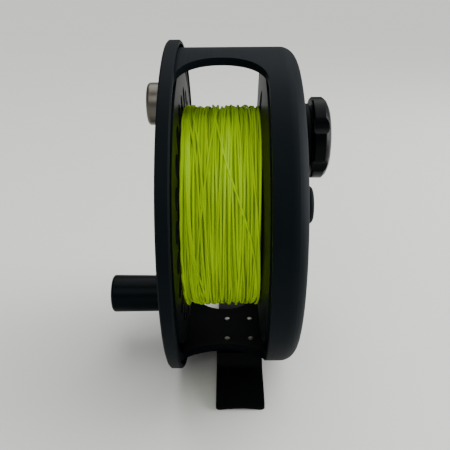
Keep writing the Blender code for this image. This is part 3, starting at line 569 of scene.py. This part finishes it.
def makeSpool():
    s = spoolSizes
    front, face, flange, rim = s["rimFront"], s["face"], s["flange"], s["rim"]
    floor = front + s["rimFloor"]
    rimInner = rim - s["rimWall"]
    rimRear = front + s["rimWidth"]
    slope = flange + s["rimFloor"]
    inner = spaceHalf(s["arbor"])
    profile = [(s["hubFront"], s["hubBore"]), (s["hubRear"], s["hubBore"]), (s["hubRear"], s["hub"]),
               (s["webRear"], s["hub"]), (s["webRear"], s["bore"]), (face, s["bore"]),
               (face, flange), (s["space"], flange), (inner, s["arbor"]),
               (-spaceHalf(s["arbor"], "front"), s["arbor"]), (-s["frontSpace"], flange), (floor, flange),
               (floor, rimInner), (rimRear, rimInner), (rimRear, rim - s["rimEdge"]),
               (rimRear - s["rimEdge"], rim), (front + s["rimEdge"], rim), (front, rim - s["rimEdge"]),
               (front, slope), (-face, slope - s["slope"]), (-face, s["bore"]),
               (s["webFront"], s["bore"]), (s["webFront"], s["hub"]), (s["hubFront"], s["hub"])]
    spool = turnedPiece("reel_spool", closed(fromMiddle(profile)), spoolAxis, s["steps"])
    frontCut = (midX - face - s["cutReach"], midX - inner + s["cutReach"])
    rearCut = (midX + inner - s["cutReach"], midX + face + s["cutReach"])
    holes = []
    for index in range(s["ports"]):
        y, z = aroundAxis(s["portRing"], spoolTurn + 2 * math.pi * index / s["ports"])
        # behind the weight and the handle only the rear flange is open, for a driver
        low, high = frontCut if index % (s["ports"] // 2) else rearCut
        holes.append(rodAlongX(s["port"], low, high, y, z, 40))
    cutWith(spool, holes)
    for ring, turn, radius in ((s["crank"], math.pi, s["rivet"]), (s["weightRing"], 0.0, s["weightHole"])):
        cutWith(spool, [rodAlongX(radius, *frontCut, *aroundAxis(ring, spoolTurn + turn))])
    weldCuts(spool, s["weld"])
    softenEdges(spool, s["edge"], 2, 38.0)
    closeGaps(spool)
    shadeRound(spool)
    polished = (s["space"] + s["polishOver"], flange - s["polishEdge"])
    finishPiece(spool, "spool", anodisedFinish("spool_anodised", polished), "spool")


makeSpool()
print("spool modelled")

# line: a close under layer on a plain core, then one loose strand that wanders over it in three layers
lineSizes = {"radius": 30.2 * mm, "left": -10.88 * mm, "right": 10.8 * mm, "strand": 0.32 * mm,
             "layer": 0.34 * mm, "underTurns": 34, "underLayers": 3.1, "looseTurns": 21, "loosePlaces": 0.96,
             "slant": 0.2, "sway": 0.06, "stepsPerTurn": 84, "coreLayers": 3.6, "arbor": 20.05 * mm,
             "sideGap": 0.12 * mm, "shoulder": 0.6 * mm, "coreSteps": 120}
# the groove colour and its two depths paint shade on the line deep in the winding
lineLook = {"dull": colour(0.34, 0.555, 0.0), "bright": colour(0.555, 0.88, 0.0),
            "fresh": colour(0.57, 0.95, 0.0), "groove": colour(0.27, 0.44, 0.0), "grooveDepth": 1.6 * mm,
            "clearDepth": 0.35 * mm, "roughness": 0.65, "specular": 0.04, "bump": 0.15, "bumpDepth": 0.02 * mm}
# turns laid on top, given one by one: places at each eighth of a turn down from the top, -1 to 1 across the
# width
topTurns = ((-0.93, -0.62, -0.48, -0.42), (-0.78, -0.52, -0.36, -0.3), (-0.1, -0.3, -0.56, -0.66),
            (0.72, 0.78, 0.93, 0.97), (0.44, 0.5, 0.48, 0.4), (0.12, 0.02, -0.1, -0.16),
            (-0.98, -0.97, -0.98, -0.96), (-0.9, -0.86, -0.76, -0.5), (0.3, 0.26, 0.2, 0.24),
            (-0.84, -0.82, -0.72, -0.42), (-0.22, 0.1, 0.76, 0.97))
# fresher places: station, turn from the top, half width, half length and strength; the last, broad one across
# the top of the winding is painted light, not fresher line
freshAndLitSpots = ((1.3 * mm, math.radians(38.0), 2.6 * mm, 15.0 * mm, 0.4),
              (-8.7 * mm, math.radians(46.0), 1.5 * mm, 12.0 * mm, 0.6),
              (0.0, math.radians(9.0), 30.0 * mm, 12.5 * mm, 0.95))


def strandCurve(name, points, thickness):
    curve = bpy.data.curves.new(name, "CURVE")
    curve.dimensions = "3D"
    curve.bevel_depth = thickness
    curve.bevel_resolution = 2
    curve.use_fill_caps = True
    spline = curve.splines.new("POLY")
    spline.points.add(len(points) - 1)
    for target, point in zip(spline.points, points):
        target.co = (*point, 1.0)
    strand = bpy.data.objects.new(name, curve)
    bpy.context.scene.collection.objects.link(strand)
    pick(strand)
    bpy.ops.object.convert(target="MESH")
    bpy.ops.object.shade_smooth()
    return bpy.context.object


def lineFinish():
    look = lineLook
    finish = Finish("fly_line")
    x, y, z = finish.axes((midX, *spoolAxis))
    turns = finish.noise(1.0, 3.0, 0.6, vector=finish.joinAxes(x * 900.0, y * 60.0, z * 60.0))
    patches = finish.noise(1.0, 2.0, 0.5, vector=finish.joinAxes(x * 260.0, y * 28.0, z * 28.0))
    fine = finish.noise(4200.0, 2.0, 0.5)
    top = lineSizes["radius"]
    # painted shade: the line darkens deeper into the winding, between and under the strands
    raised = finish.ramp(finish.radius(y, z), top - look["grooveDepth"], top - look["clearDepth"])
    line = finish.blend(finish.ramp(turns * 0.5 + patches * 0.5, 0.36, 0.64), look["dull"], look["bright"])
    # the last spot paints light on the top of the winding, where the frame's top bar shades it
    for station, turn, width, length, strength in freshAndLitSpots:
        spotY, spotZ = -top * math.sin(turn), top * math.cos(turn)
        across = (x - station) / width
        down = finish.radius(y - spotY, z - spotZ) / length
        spot = finish.ramp(finish.radius(across, down), 1.0, 0.3)
        line = finish.blend(spot * strength, line, look["fresh"])
    finish.set(colour=finish.blend(raised, look["groove"], line), specular=look["specular"],
               roughness=look["roughness"] + (fine - 0.5) * 0.2)
    finish.bump(fine, look["bump"], look["bumpDepth"])
    return finish.material


def strandPoint(turn, place, radius):
    s = lineSizes
    share = (max(-1.0, min(1.0, place)) + 1) / 2
    low, high = s["left"] + s["strand"], s["right"] - s["strand"]
    return (midX + low + (high - low) * share, *aroundAxis(radius, 2 * math.pi * turn))


def underPoints():
    # even turns from one side to the other, each pushed about a little
    s = lineSizes
    chance = random.Random(11)
    waves = [(chance.uniform(0.5, 3.2), chance.uniform(0, 6.28), chance.uniform(0.1, 0.28))
             for _ in range(7)]
    count = s["underTurns"] * s["stepsPerTurn"]
    level = s["radius"] - s["strand"] - s["underLayers"] * s["layer"]
    points = []
    for index in range(count + 1):
        turn, share = index / s["stepsPerTurn"], index / count
        sway = sum(size * math.sin(rate * 2 * math.pi * turn + phase) for rate, phase, size in waves) / 3
        place = 2 * share - 1 + sway * s["sway"] * math.sin(math.pi * share) ** 0.5
        wave = 0.12 * mm * math.sin(turn * 2.17 + 0.6)
        points.append(strandPoint(turn, place, level + wave))
    return points


def looseStops():
    # two layers of slanting turns in no order, then the listed ones: (turn, place, layer)
    s = lineSizes
    chance = random.Random(5)
    rows = []
    for layer in (0, 1):
        places = along(-s["loosePlaces"], s["loosePlaces"], s["looseTurns"] - 1)
        chance.shuffle(places)
        for place in places:
            slant = chance.uniform(-1.0, 1.0) * s["slant"]
            rows.append((layer, [place + slant * share for share in (-0.6, -0.2, 0.2, 0.6)]))
    rows += [(2, row) for row in topTurns]
    return [(number + eighth / 8, place, layer) for number, (layer, row) in enumerate(rows)
            for eighth, place in enumerate(row)]


def loosePoints():
    # one strand from stop to stop, eased so that it leaves each in the direction it came
    s = lineSizes
    stops = looseStops()
    points = []
    for at in range(len(stops) - 1):
        before, after = stops[max(at - 1, 0)], stops[min(at + 2, len(stops) - 1)]
        (start, low, lowLayer), (end, high, highLayer) = stops[at], stops[at + 1]
        slopeLow = (high - before[1]) / (end - before[0]) * (end - start)
        slopeHigh = (after[1] - low) / (after[0] - start) * (end - start)
        for share in along(0.0, 1.0, max(2, round((end - start) * s["stepsPerTurn"])))[:-1]:
            square, cube = share ** 2, share ** 3
            place = ((2 * cube - 3 * square + 1) * low + (cube - 2 * square + share) * slopeLow
                     + (3 * square - 2 * cube) * high + (cube - square) * slopeHigh)
            turn = start + (end - start) * share
            layer = lowLayer + (highLayer - lowLayer) * share
            wave = 0.1 * mm * math.sin(turn * 1.9 + 0.4) * math.sin(turn * 5.3)
            radius = s["radius"] - s["strand"] - (2 - layer) * s["layer"] + wave
            points.append(strandPoint(turn, place, radius))
    return points


def makeLine():
    s = lineSizes
    core = s["radius"] - s["strand"] - s["coreLayers"] * s["layer"]
    shoulder = core - s["shoulder"]
    low, high = spaceHalf(s["arbor"]) - s["sideGap"], spaceHalf(shoulder) - 2 * s["sideGap"]
    profile = [(-low, s["arbor"]), (low, s["arbor"]), (high, shoulder), (high - s["shoulder"], core),
               (-high + s["shoulder"], core), (-high, shoulder)]
    under = turnedPiece("line_under", closed(fromMiddle(profile)), spoolAxis, s["coreSteps"])
    shadeRound(under)
    material = lineFinish()
    finishPiece(under, "spool", material, "line_core")
    wound = strandCurve("line_wound", underPoints(), s["strand"])
    loose = strandCurve("line_loose", loosePoints(), s["strand"])
    pick(wound)
    loose.select_set(True)
    bpy.ops.object.join()
    finishPiece(wound, "spool", material, "line_winding")


makeLine()
print("line wound")

# handle: a plain round grip with a sunk post head at its outer end
gripLow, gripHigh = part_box("handle_grip")
gripSizes = {"radius": (gripHigh.z - gripLow.z) / 2, "taper": 0.25 * mm, "edge": 1.0 * mm,
             "baseEdge": 0.4 * mm, "bore": 2.5 * mm, "pocket": 3.8 * mm, "pocketDepth": 3.1 * mm,
             "soft": 0.14 * mm, "steps": 96}
gripLook = {"colour": colour(0.0006, 0.0026, 0.004), "rubbed": colour(0.003, 0.006, 0.0078),
            "roughness": 0.33, "specular": 0.05, "rings": 2600.0, "rub": 210.0, "bump": 0.12,
            "bumpDepth": 0.03 * mm}


def gripFinish():
    look = gripLook
    finish = Finish("grip_acetal")
    x = finish.axes((midX, *gripAxis))[0]
    rings = finish.noise(1.0, 2.0, 0.5, vector=finish.joinAxes(x * look["rings"], 0.0, 0.0))
    rub = finish.noise(look["rub"], 5.0, 0.65, stretch=(0.35, 1.0, 1.0))
    share = finish.ramp(rub, 0.45, 0.85) * 0.5
    finish.set(colour=finish.blend(share, look["colour"], look["rubbed"]), specular=look["specular"],
               roughness=look["roughness"] + (rub - 0.5) * 0.2)
    finish.bump(rings, look["bump"], look["bumpDepth"])
    return finish.material


def makeGrip():
    s = gripSizes
    base, end = gripHigh.x, gripLow.x
    inner = s["radius"] - s["taper"]
    profile = [(end + s["pocketDepth"], s["bore"]), (base, s["bore"]), (base, inner - s["baseEdge"]),
               (base - s["baseEdge"], inner)]
    profile += [(base + (end - base) * share, inner + s["taper"] * share) for share in (0.25, 0.5, 0.75)]
    profile += arcPoints(end + s["edge"], s["radius"] - s["edge"], s["edge"], 90, 180, 8)
    profile += [(end, s["pocket"]), (end + s["pocketDepth"], s["pocket"])]
    grip = turnedPiece("handle_knob", closed(profile), gripAxis, s["steps"])
    softenEdges(grip, s["soft"], 2, 38.0)
    shadeRound(grip)
    finishPiece(grip, "handle", gripFinish(), "handle_grip")


makeGrip()
print("handle modelled")

# counterweight: a plain turned steel button
weightLow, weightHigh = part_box("counterweight")
weightSizes = {"radius": (weightHigh.z - weightLow.z) / 2, "edge": 1.0 * mm, "soft": 0.1 * mm, "steps": 96,
               "tone": (0.115, 0.108, 0.094), "roughness": 0.36}


def makeWeight():
    s = weightSizes
    profile = [(weightHigh.x, 0.0), (weightHigh.x, s["radius"])]
    profile += arcPoints(weightLow.x + s["edge"], s["radius"] - s["edge"], s["edge"], 90, 180, 8)
    profile += [(weightLow.x, 0.0)]
    weight = turnedPiece("balance_weight", profile, weightAxis, s["steps"])
    softenEdges(weight, s["soft"], 2, 50.0)
    shadeRound(weight)
    material = steelFinish("weight_steel", weightAxis, s["tone"], s["roughness"])
    finishPiece(weight, "spool", material, "counterweight")


makeWeight()
print("counterweight modelled")

# drag knob: a chamfered disc with six broad finger scallops
knobLow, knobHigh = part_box("drag_knob")
knobSizes = {"radius": 11.7 * mm, "chamfer": 2.4 * mm, "chamferDepth": 1.7 * mm, "shoulder": 0.85 * mm,
             "shoulderDrop": 0.75 * mm, "baseEdge": 0.4 * mm, "lobes": 6, "scallop": 3.6 * mm,
             "scallopDepth": 1.0 * mm, "bore": 2.4 * mm, "hole": 1.5 * mm, "pocket": 3.3 * mm,
             "webLow": 2.5 * mm, "webHigh": 3.5 * mm, "weld": 0.05 * mm, "edge": 0.16 * mm, "steps": 160}
knobLook = {"colour": colour(0.0004, 0.001, 0.0014), "smeared": colour(0.002, 0.0034, 0.0042),
            "roughness": 0.3, "specular": 0.05, "smear": 180.0, "grain": 3000.0, "bump": 0.08,
            "bumpDepth": 0.02 * mm}


def knobFinish():
    look = knobLook
    finish = Finish("knob_black")
    smear = finish.noise(look["smear"], 5.0, 0.6)
    share = finish.ramp(smear, 0.45, 0.8) * 0.5
    finish.set(colour=finish.blend(share, look["colour"], look["smeared"]), specular=look["specular"],
               roughness=look["roughness"] + (smear - 0.5) * 0.2)
    finish.bump(finish.noise(look["grain"], 2.0, 0.5), look["bump"], look["bumpDepth"])
    return finish.material


def makeKnob():
    s = knobSizes
    base, top = knobLow.x, knobHigh.x
    webLow, webHigh = base + s["webLow"], base + s["webHigh"]
    profile = [(base, s["bore"]), (webLow, s["bore"]), (webLow, s["hole"]), (webHigh, s["hole"]),
               (webHigh, s["pocket"]), (top, s["pocket"]), (top, s["radius"] - s["chamfer"]),
               (top - s["shoulderDrop"], s["radius"] - s["shoulder"]),
               (top - s["chamferDepth"], s["radius"]), (base + s["baseEdge"], s["radius"]),
               (base, s["radius"] - s["baseEdge"])]
    knob = turnedPiece("drag_dial", closed(profile), knobAxis, s["steps"])
    reach = s["radius"] + s["scallop"] - s["scallopDepth"]
    cutters = []
    for index in range(s["lobes"]):
        angle = 2 * math.pi * index / s["lobes"]
        y, z = -reach * math.sin(angle), knobZ + reach * math.cos(angle)
        cutters.append(rodAlongX(s["scallop"], base - overcut, top + overcut, y, z, 96))
    cutWith(knob, cutters)
    weldCuts(knob, s["weld"])
    softenEdges(knob, s["edge"], 2, 30.0)
    shadeRound(knob)
    finishPiece(knob, "drag_knob", knobFinish(), "drag_knob")


makeKnob()
print("drag knob modelled")

# rear cap: a low dome over the spindle's nut
capLow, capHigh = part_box("rear_cap")
capSizes = {"radius": (capHigh.z - capLow.z) / 2, "crown": 1.5 * mm, "wall": 1.1 * mm, "dish": 0.25 * mm,
            "soft": 0.1 * mm, "steps": 96}


def makeCap():
    s = capSizes
    top, base = capHigh.x, capLow.x
    hollow = s["radius"] - s["wall"]
    ceiling = top - s["wall"] - s["dish"]
    profile = [(top, 0.0), (top - s["dish"] * 0.3, s["radius"] * 0.45)]
    profile += arcPoints(top - s["crown"] - s["dish"] * 0.5, s["radius"] - s["crown"], s["crown"], 0, 90, 8)
    profile += [(base, s["radius"]), (base, hollow), (ceiling, hollow), (ceiling, 0.0)]
    cap = turnedPiece("spindle_cap", profile, spoolAxis, s["steps"])
    softenEdges(cap, s["soft"], 2, 50.0)
    shadeRound(cap)
    finishPiece(cap, "frame", anodisedFinish("cap_satin"), "rear_cap")


makeCap()
print("cap modelled")

# foot: a tapered saddle with a hollow underside between two flat lands
footLow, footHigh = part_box("reel_foot")
footX = middleOf("reel_foot")[0]
footSizes = {"width": footHigh.x - footLow.x, "length": footHigh.y - footLow.y, "tip": 1.1 * mm,
             "shoulder": 3.3 * mm, "pad": 26.0 * mm, "lip": 0.4 * mm, "slope": 3.5 * mm, "slopeBend": 1.7,
             "corner": 1.0 * mm, "land": 1.7 * mm, "channel": 0.5 * mm, "channelPast": 10 * mm,
             "seatGap": 0.04 * mm, "seatFront": -20 * mm, "seatRear": 30 * mm, "planHeight": 40 * mm,
             "hole": 1.08 * mm, "holeReach": 20 * mm, "headHole": 2.12 * mm, "sink": 2.0 * mm,
             "weld": 0.02 * mm, "edge": 0.32 * mm}
footLook = {"colour": colour(0.0008, 0.0014, 0.0016), "worn": colour(0.009, 0.0096, 0.0098),
            "roughness": 0.5, "specular": 0.05, "scuff": 320.0, "wornEdge": 0.5 * mm, "bump": 0.08,
            "bumpDepth": 0.03 * mm}


def footFinish():
    look, half = footLook, footSizes["width"] / 2
    finish = Finish("foot_anodised")
    x = finish.axes((footX, 0.0, 0.0))[0]
    scuff = finish.noise(look["scuff"], 5.0, 0.65, stretch=(1.0, 0.22, 1.0))
    edge = finish.ramp(finish.math("ABSOLUTE", x), half - look["wornEdge"], half)
    share = finish.ramp(scuff, 0.55, 0.9) * 0.45 + edge * finish.ramp(scuff, 0.3, 0.7) * 0.5
    finish.set(colour=finish.blend(share, look["colour"], look["worn"]), specular=look["specular"],
               roughness=look["roughness"] + (scuff - 0.5) * 0.2)
    finish.bump(scuff, look["bump"], look["bumpDepth"])
    return finish.material


def footOutline(tip, pad, padTop):
    # one half from the thin tip up to the seat's lip, then the other half mirrored
    s = footSizes
    half = []
    for share in along(0.0, 1.0, 14):
        reach = tip + (pad + s["slope"] - tip) * share
        half.append((reach, s["tip"] + (s["shoulder"] - s["tip"]) * math.sin(share * math.pi / 2)))
    for share in along(0.0, 1.0, 8)[1:]:
        rise = s["shoulder"] + (padTop - s["shoulder"]) * share ** s["slopeBend"]
        half.append((pad + s["slope"] * (1 - share), rise))
    return [(tip, 0.0)] + half + [(-reach, rise) for reach, rise in reversed(half)] + [(-tip, 0.0)]


def footPlan(tip):
    # a rectangle with round corners
    s = footSizes
    across, lengthwise = s["width"] / 2 - s["corner"], tip - s["corner"]
    corners = ((across, lengthwise), (-across, lengthwise), (-across, -lengthwise), (across, -lengthwise))
    plan = []
    for index, (x, y) in enumerate(corners):
        plan += arcPoints(x, y, s["corner"], 90 * index, 90 * index + 90, 10)
    return [(footX + x, y, -overcut) for x, y in plan]


def makeFoot():
    s = footSizes
    tip, pad = s["length"] / 2, s["pad"] / 2
    seat = frameSizes["radius"] + s["seatGap"]
    padTop = axisZ - math.sqrt(seat ** 2 - pad ** 2) + s["lip"]
    outline = [(footX - s["width"] / 2 - overcut, reach, rise) for reach, rise in footOutline(tip, pad, padTop)]
    foot = flatPrism("seat_foot", outline, (s["width"] + 2 * overcut, 0.0, 0.0))
    cutWith(foot, [flatPrism("plan", footPlan(tip), (0.0, 0.0, s["planHeight"]))], "INTERSECT")
    cutWith(foot, [rodAlongX(seat, midX + s["seatFront"], midX + s["seatRear"], *spoolAxis, 256)])
    halfChannel = s["width"] / 2 - s["land"]
    channel = (halfChannel ** 2 + s["channel"] ** 2) / (2 * s["channel"])
    deselectAll()
    bpy.ops.mesh.primitive_cylinder_add(vertices=256, radius=channel, depth=s["length"] + s["channelPast"],
                                        location=(footX, 0.0, s["channel"] - channel),
                                        rotation=(math.pi / 2, 0.0, 0.0))
    cutWith(foot, [bpy.context.object])
    for radius, high in ((s["hole"], s["holeReach"]), (s["headHole"], s["sink"])):
        holes = []
        for name in footScrews:
            x, y = middleOf(name)[:2]
            holes.append(uprightRod(radius, -overcut, high, x, y, 40))
        cutWith(foot, holes)
    weldCuts(foot, s["weld"])
    softenEdges(foot, s["edge"], 2, 30.0)
    shadeRound(foot)
    finishPiece(foot, "frame", footFinish(), "reel_foot")


makeFoot()
print("foot modelled")

# small steel pieces that show: turned, with soft edges, slots and sockets
footBolt = {"head": 1.1 * mm, "shank": 1.0 * mm, "chamfer": 0.22 * mm, "socket": 1.1 * mm,
            "socketDepth": 0.6 * mm, "soft": 0.05 * mm, "steps": 40}
coinScrew = {"head": 1.4 * mm, "shank": 1.7 * mm, "slot": 1.3 * mm, "depth": 0.7 * mm, "chamfer": 0.22 * mm,
             "soft": 0.06 * mm, "steps": 64}
dialScrew = {"head": 1.0 * mm, "shank": 1.3 * mm, "slot": 0.8 * mm, "depth": 0.45 * mm, "chamfer": 0.22 * mm,
             "soft": 0.06 * mm, "steps": 64}
handlePost = {"rivet": 1.6 * mm, "collar": 3.6 * mm, "collarDepth": 0.7 * mm, "collarGap": 0.02 * mm,
              "shank": 2.2 * mm, "head": 3.5 * mm, "headDepth": 1.8 * mm, "crown": 0.35 * mm,
              "soft": 0.08 * mm, "steps": 64}
boltSteel = steelFinish("screw_steel", spoolAxis, (0.4, 0.39, 0.37), 0.34)
dullSteel = steelFinish("slotted_steel", spoolAxis, (0.15, 0.145, 0.138), 0.38)


def firstFootBolt(name, node):
    s = footBolt
    low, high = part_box(node)
    x, y = middleOf(node)[:2]
    head = (high.x - low.x) / 2
    neck = low.z + s["head"]
    profile = [(low.z, 0.0), (low.z, head - s["chamfer"]), (low.z + s["chamfer"], head), (neck, head),
               (neck, s["shank"]), (high.z - s["chamfer"], s["shank"]),
               (high.z, s["shank"] - s["chamfer"]), (high.z, 0.0)]
    bolt = turnedPiece(name, profile, (x, y), s["steps"], upright=True)
    cutWith(bolt, [uprightRod(s["socket"], low.z - s["socketDepth"], low.z + s["socketDepth"], x, y, 6)])
    softenEdges(bolt, s["soft"], 2, 40.0)
    shadeRound(bolt)
    return bolt


def copiedBolt(bolt, name, shift):
    pick(bolt)
    bpy.ops.object.duplicate()
    copy = bpy.context.object
    copy.name = name
    copy.data.name = name
    editAll(copy)
    bpy.ops.transform.translate(value=shift)
    bpy.ops.object.mode_set(mode="OBJECT")
    return copy


def makeFootBolts():
    firstX, firstY = middleOf(footScrews[0])[:2]
    first = firstFootBolt("foot_bolt_1", footScrews[0])
    for number, node in enumerate(footScrews, 1):
        bolt = first
        if number > 1:
            x, y = middleOf(node)[:2]
            bolt = copiedBolt(first, f"foot_bolt_{number}", (x - firstX, y - firstY, 0.0))
        finishPiece(bolt, "frame", boltSteel, node)


def makeSlottedScrew(name, node, body, axisPoint, s, facing):
    # facing is -1 where the head looks to the front, 1 to the rear
    low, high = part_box(node)
    radius = (high.z - low.z) / 2
    outer, tip = (low.x, high.x) if facing < 0 else (high.x, low.x)
    neck, edge = outer - facing * s["head"], s["chamfer"]
    profile = [(outer, 0.0), (outer, radius - edge), (outer - facing * edge, radius), (neck, radius),
               (neck, s["shank"]), (tip + facing * edge, s["shank"]), (tip, s["shank"] - edge), (tip, 0.0)]
    screw = turnedPiece(name, profile, axisPoint, s["steps"])
    deselectAll()
    bpy.ops.mesh.primitive_cube_add(size=1.0, location=(outer, *axisPoint),
                                    scale=(2 * s["depth"], 3 * radius, s["slot"]))
    cutWith(screw, [bpy.context.object])
    softenEdges(screw, s["soft"], 2, 40.0)
    shadeRound(screw)
    finishPiece(screw, body, dullSteel, node)


def makePost():
    s = handlePost
    low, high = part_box("handle_post")
    base = midX - (spoolSizes["face"] + s["collarGap"])
    headEnd, collar = low.x + s["headDepth"], base - s["collarDepth"]
    profile = [(low.x, 0.0)]
    profile += [(low.x + s["crown"] * share ** 2, s["head"] * share) for share in (0.3, 0.6, 0.9)]
    profile += [(low.x + s["crown"] * 1.5, s["head"]), (headEnd, s["head"]), (headEnd, s["shank"]),
                (collar, s["shank"]), (collar, s["collar"]), (base, s["collar"]), (base, s["rivet"]),
                (high.x, s["rivet"]), (high.x, 0.0)]
    post = turnedPiece("handle_pin", profile, gripAxis, s["steps"])
    softenEdges(post, s["soft"], 2, 40.0)
    shadeRound(post)
    finishPiece(post, "spool", dullSteel, "handle_post")


makeFootBolts()
makeSlottedScrew("spool_screw", "spool_retaining_screw", "frame", spoolAxis, coinScrew, -1)
makeSlottedScrew("dial_screw", "knob_screw", "drag_knob", knobAxis, dialScrew, 1)
makePost()
print("small screws modelled")

# finishes of the pieces that keep their drawn shape
corkLook = {"colour": colour(0.45, 0.27, 0.12), "dark": colour(0.2, 0.1, 0.04), "roughness": 0.85,
            "specular": 0.2, "grains": 900.0, "patches": 700.0, "bump": 0.4, "bumpDepth": 0.1 * mm}


def corkFinish():
    look = corkLook
    finish = Finish("cork_facing")
    grains = finish.node("ShaderNodeTexVoronoi", Vector=finish.place, Scale=look["grains"])
    patches = finish.noise(look["patches"], 4.0, 0.6)
    finish.set(colour=finish.blend(finish.ramp(patches, 0.45, 0.75), look["colour"], look["dark"]),
               roughness=look["roughness"] + (grains - 0.3) * 0.1, specular=look["specular"])
    finish.bump(grains + patches, look["bump"], look["bumpDepth"])
    return finish.material


plainFinishes = (
    (steelFinish("stainless_steel", spoolAxis, (0.56, 0.55, 0.53), 0.3),
     ("spindle", "spindle_nut", "counterweight_screw", "drag_stem", "yoke_pin")),
    (steelFinish("bearing_steel", spoolAxis, (0.6, 0.6, 0.61), 0.2),
     ("front_bearing", "rear_bearing", "roller_clutch")),
    (steelFinish("drag_steel", spoolAxis, (0.45, 0.46, 0.48), 0.35), ("drag_disc", "drag_yoke")),
    (corkFinish(), ("cork_ring",)),
)
for material, nodeNames in plainFinishes:
    for nodeName in nodeNames:
        node = bpy.data.objects[nodeName]
        node.data.materials.clear()
        node.data.materials.append(material)
print("inner pieces finished")
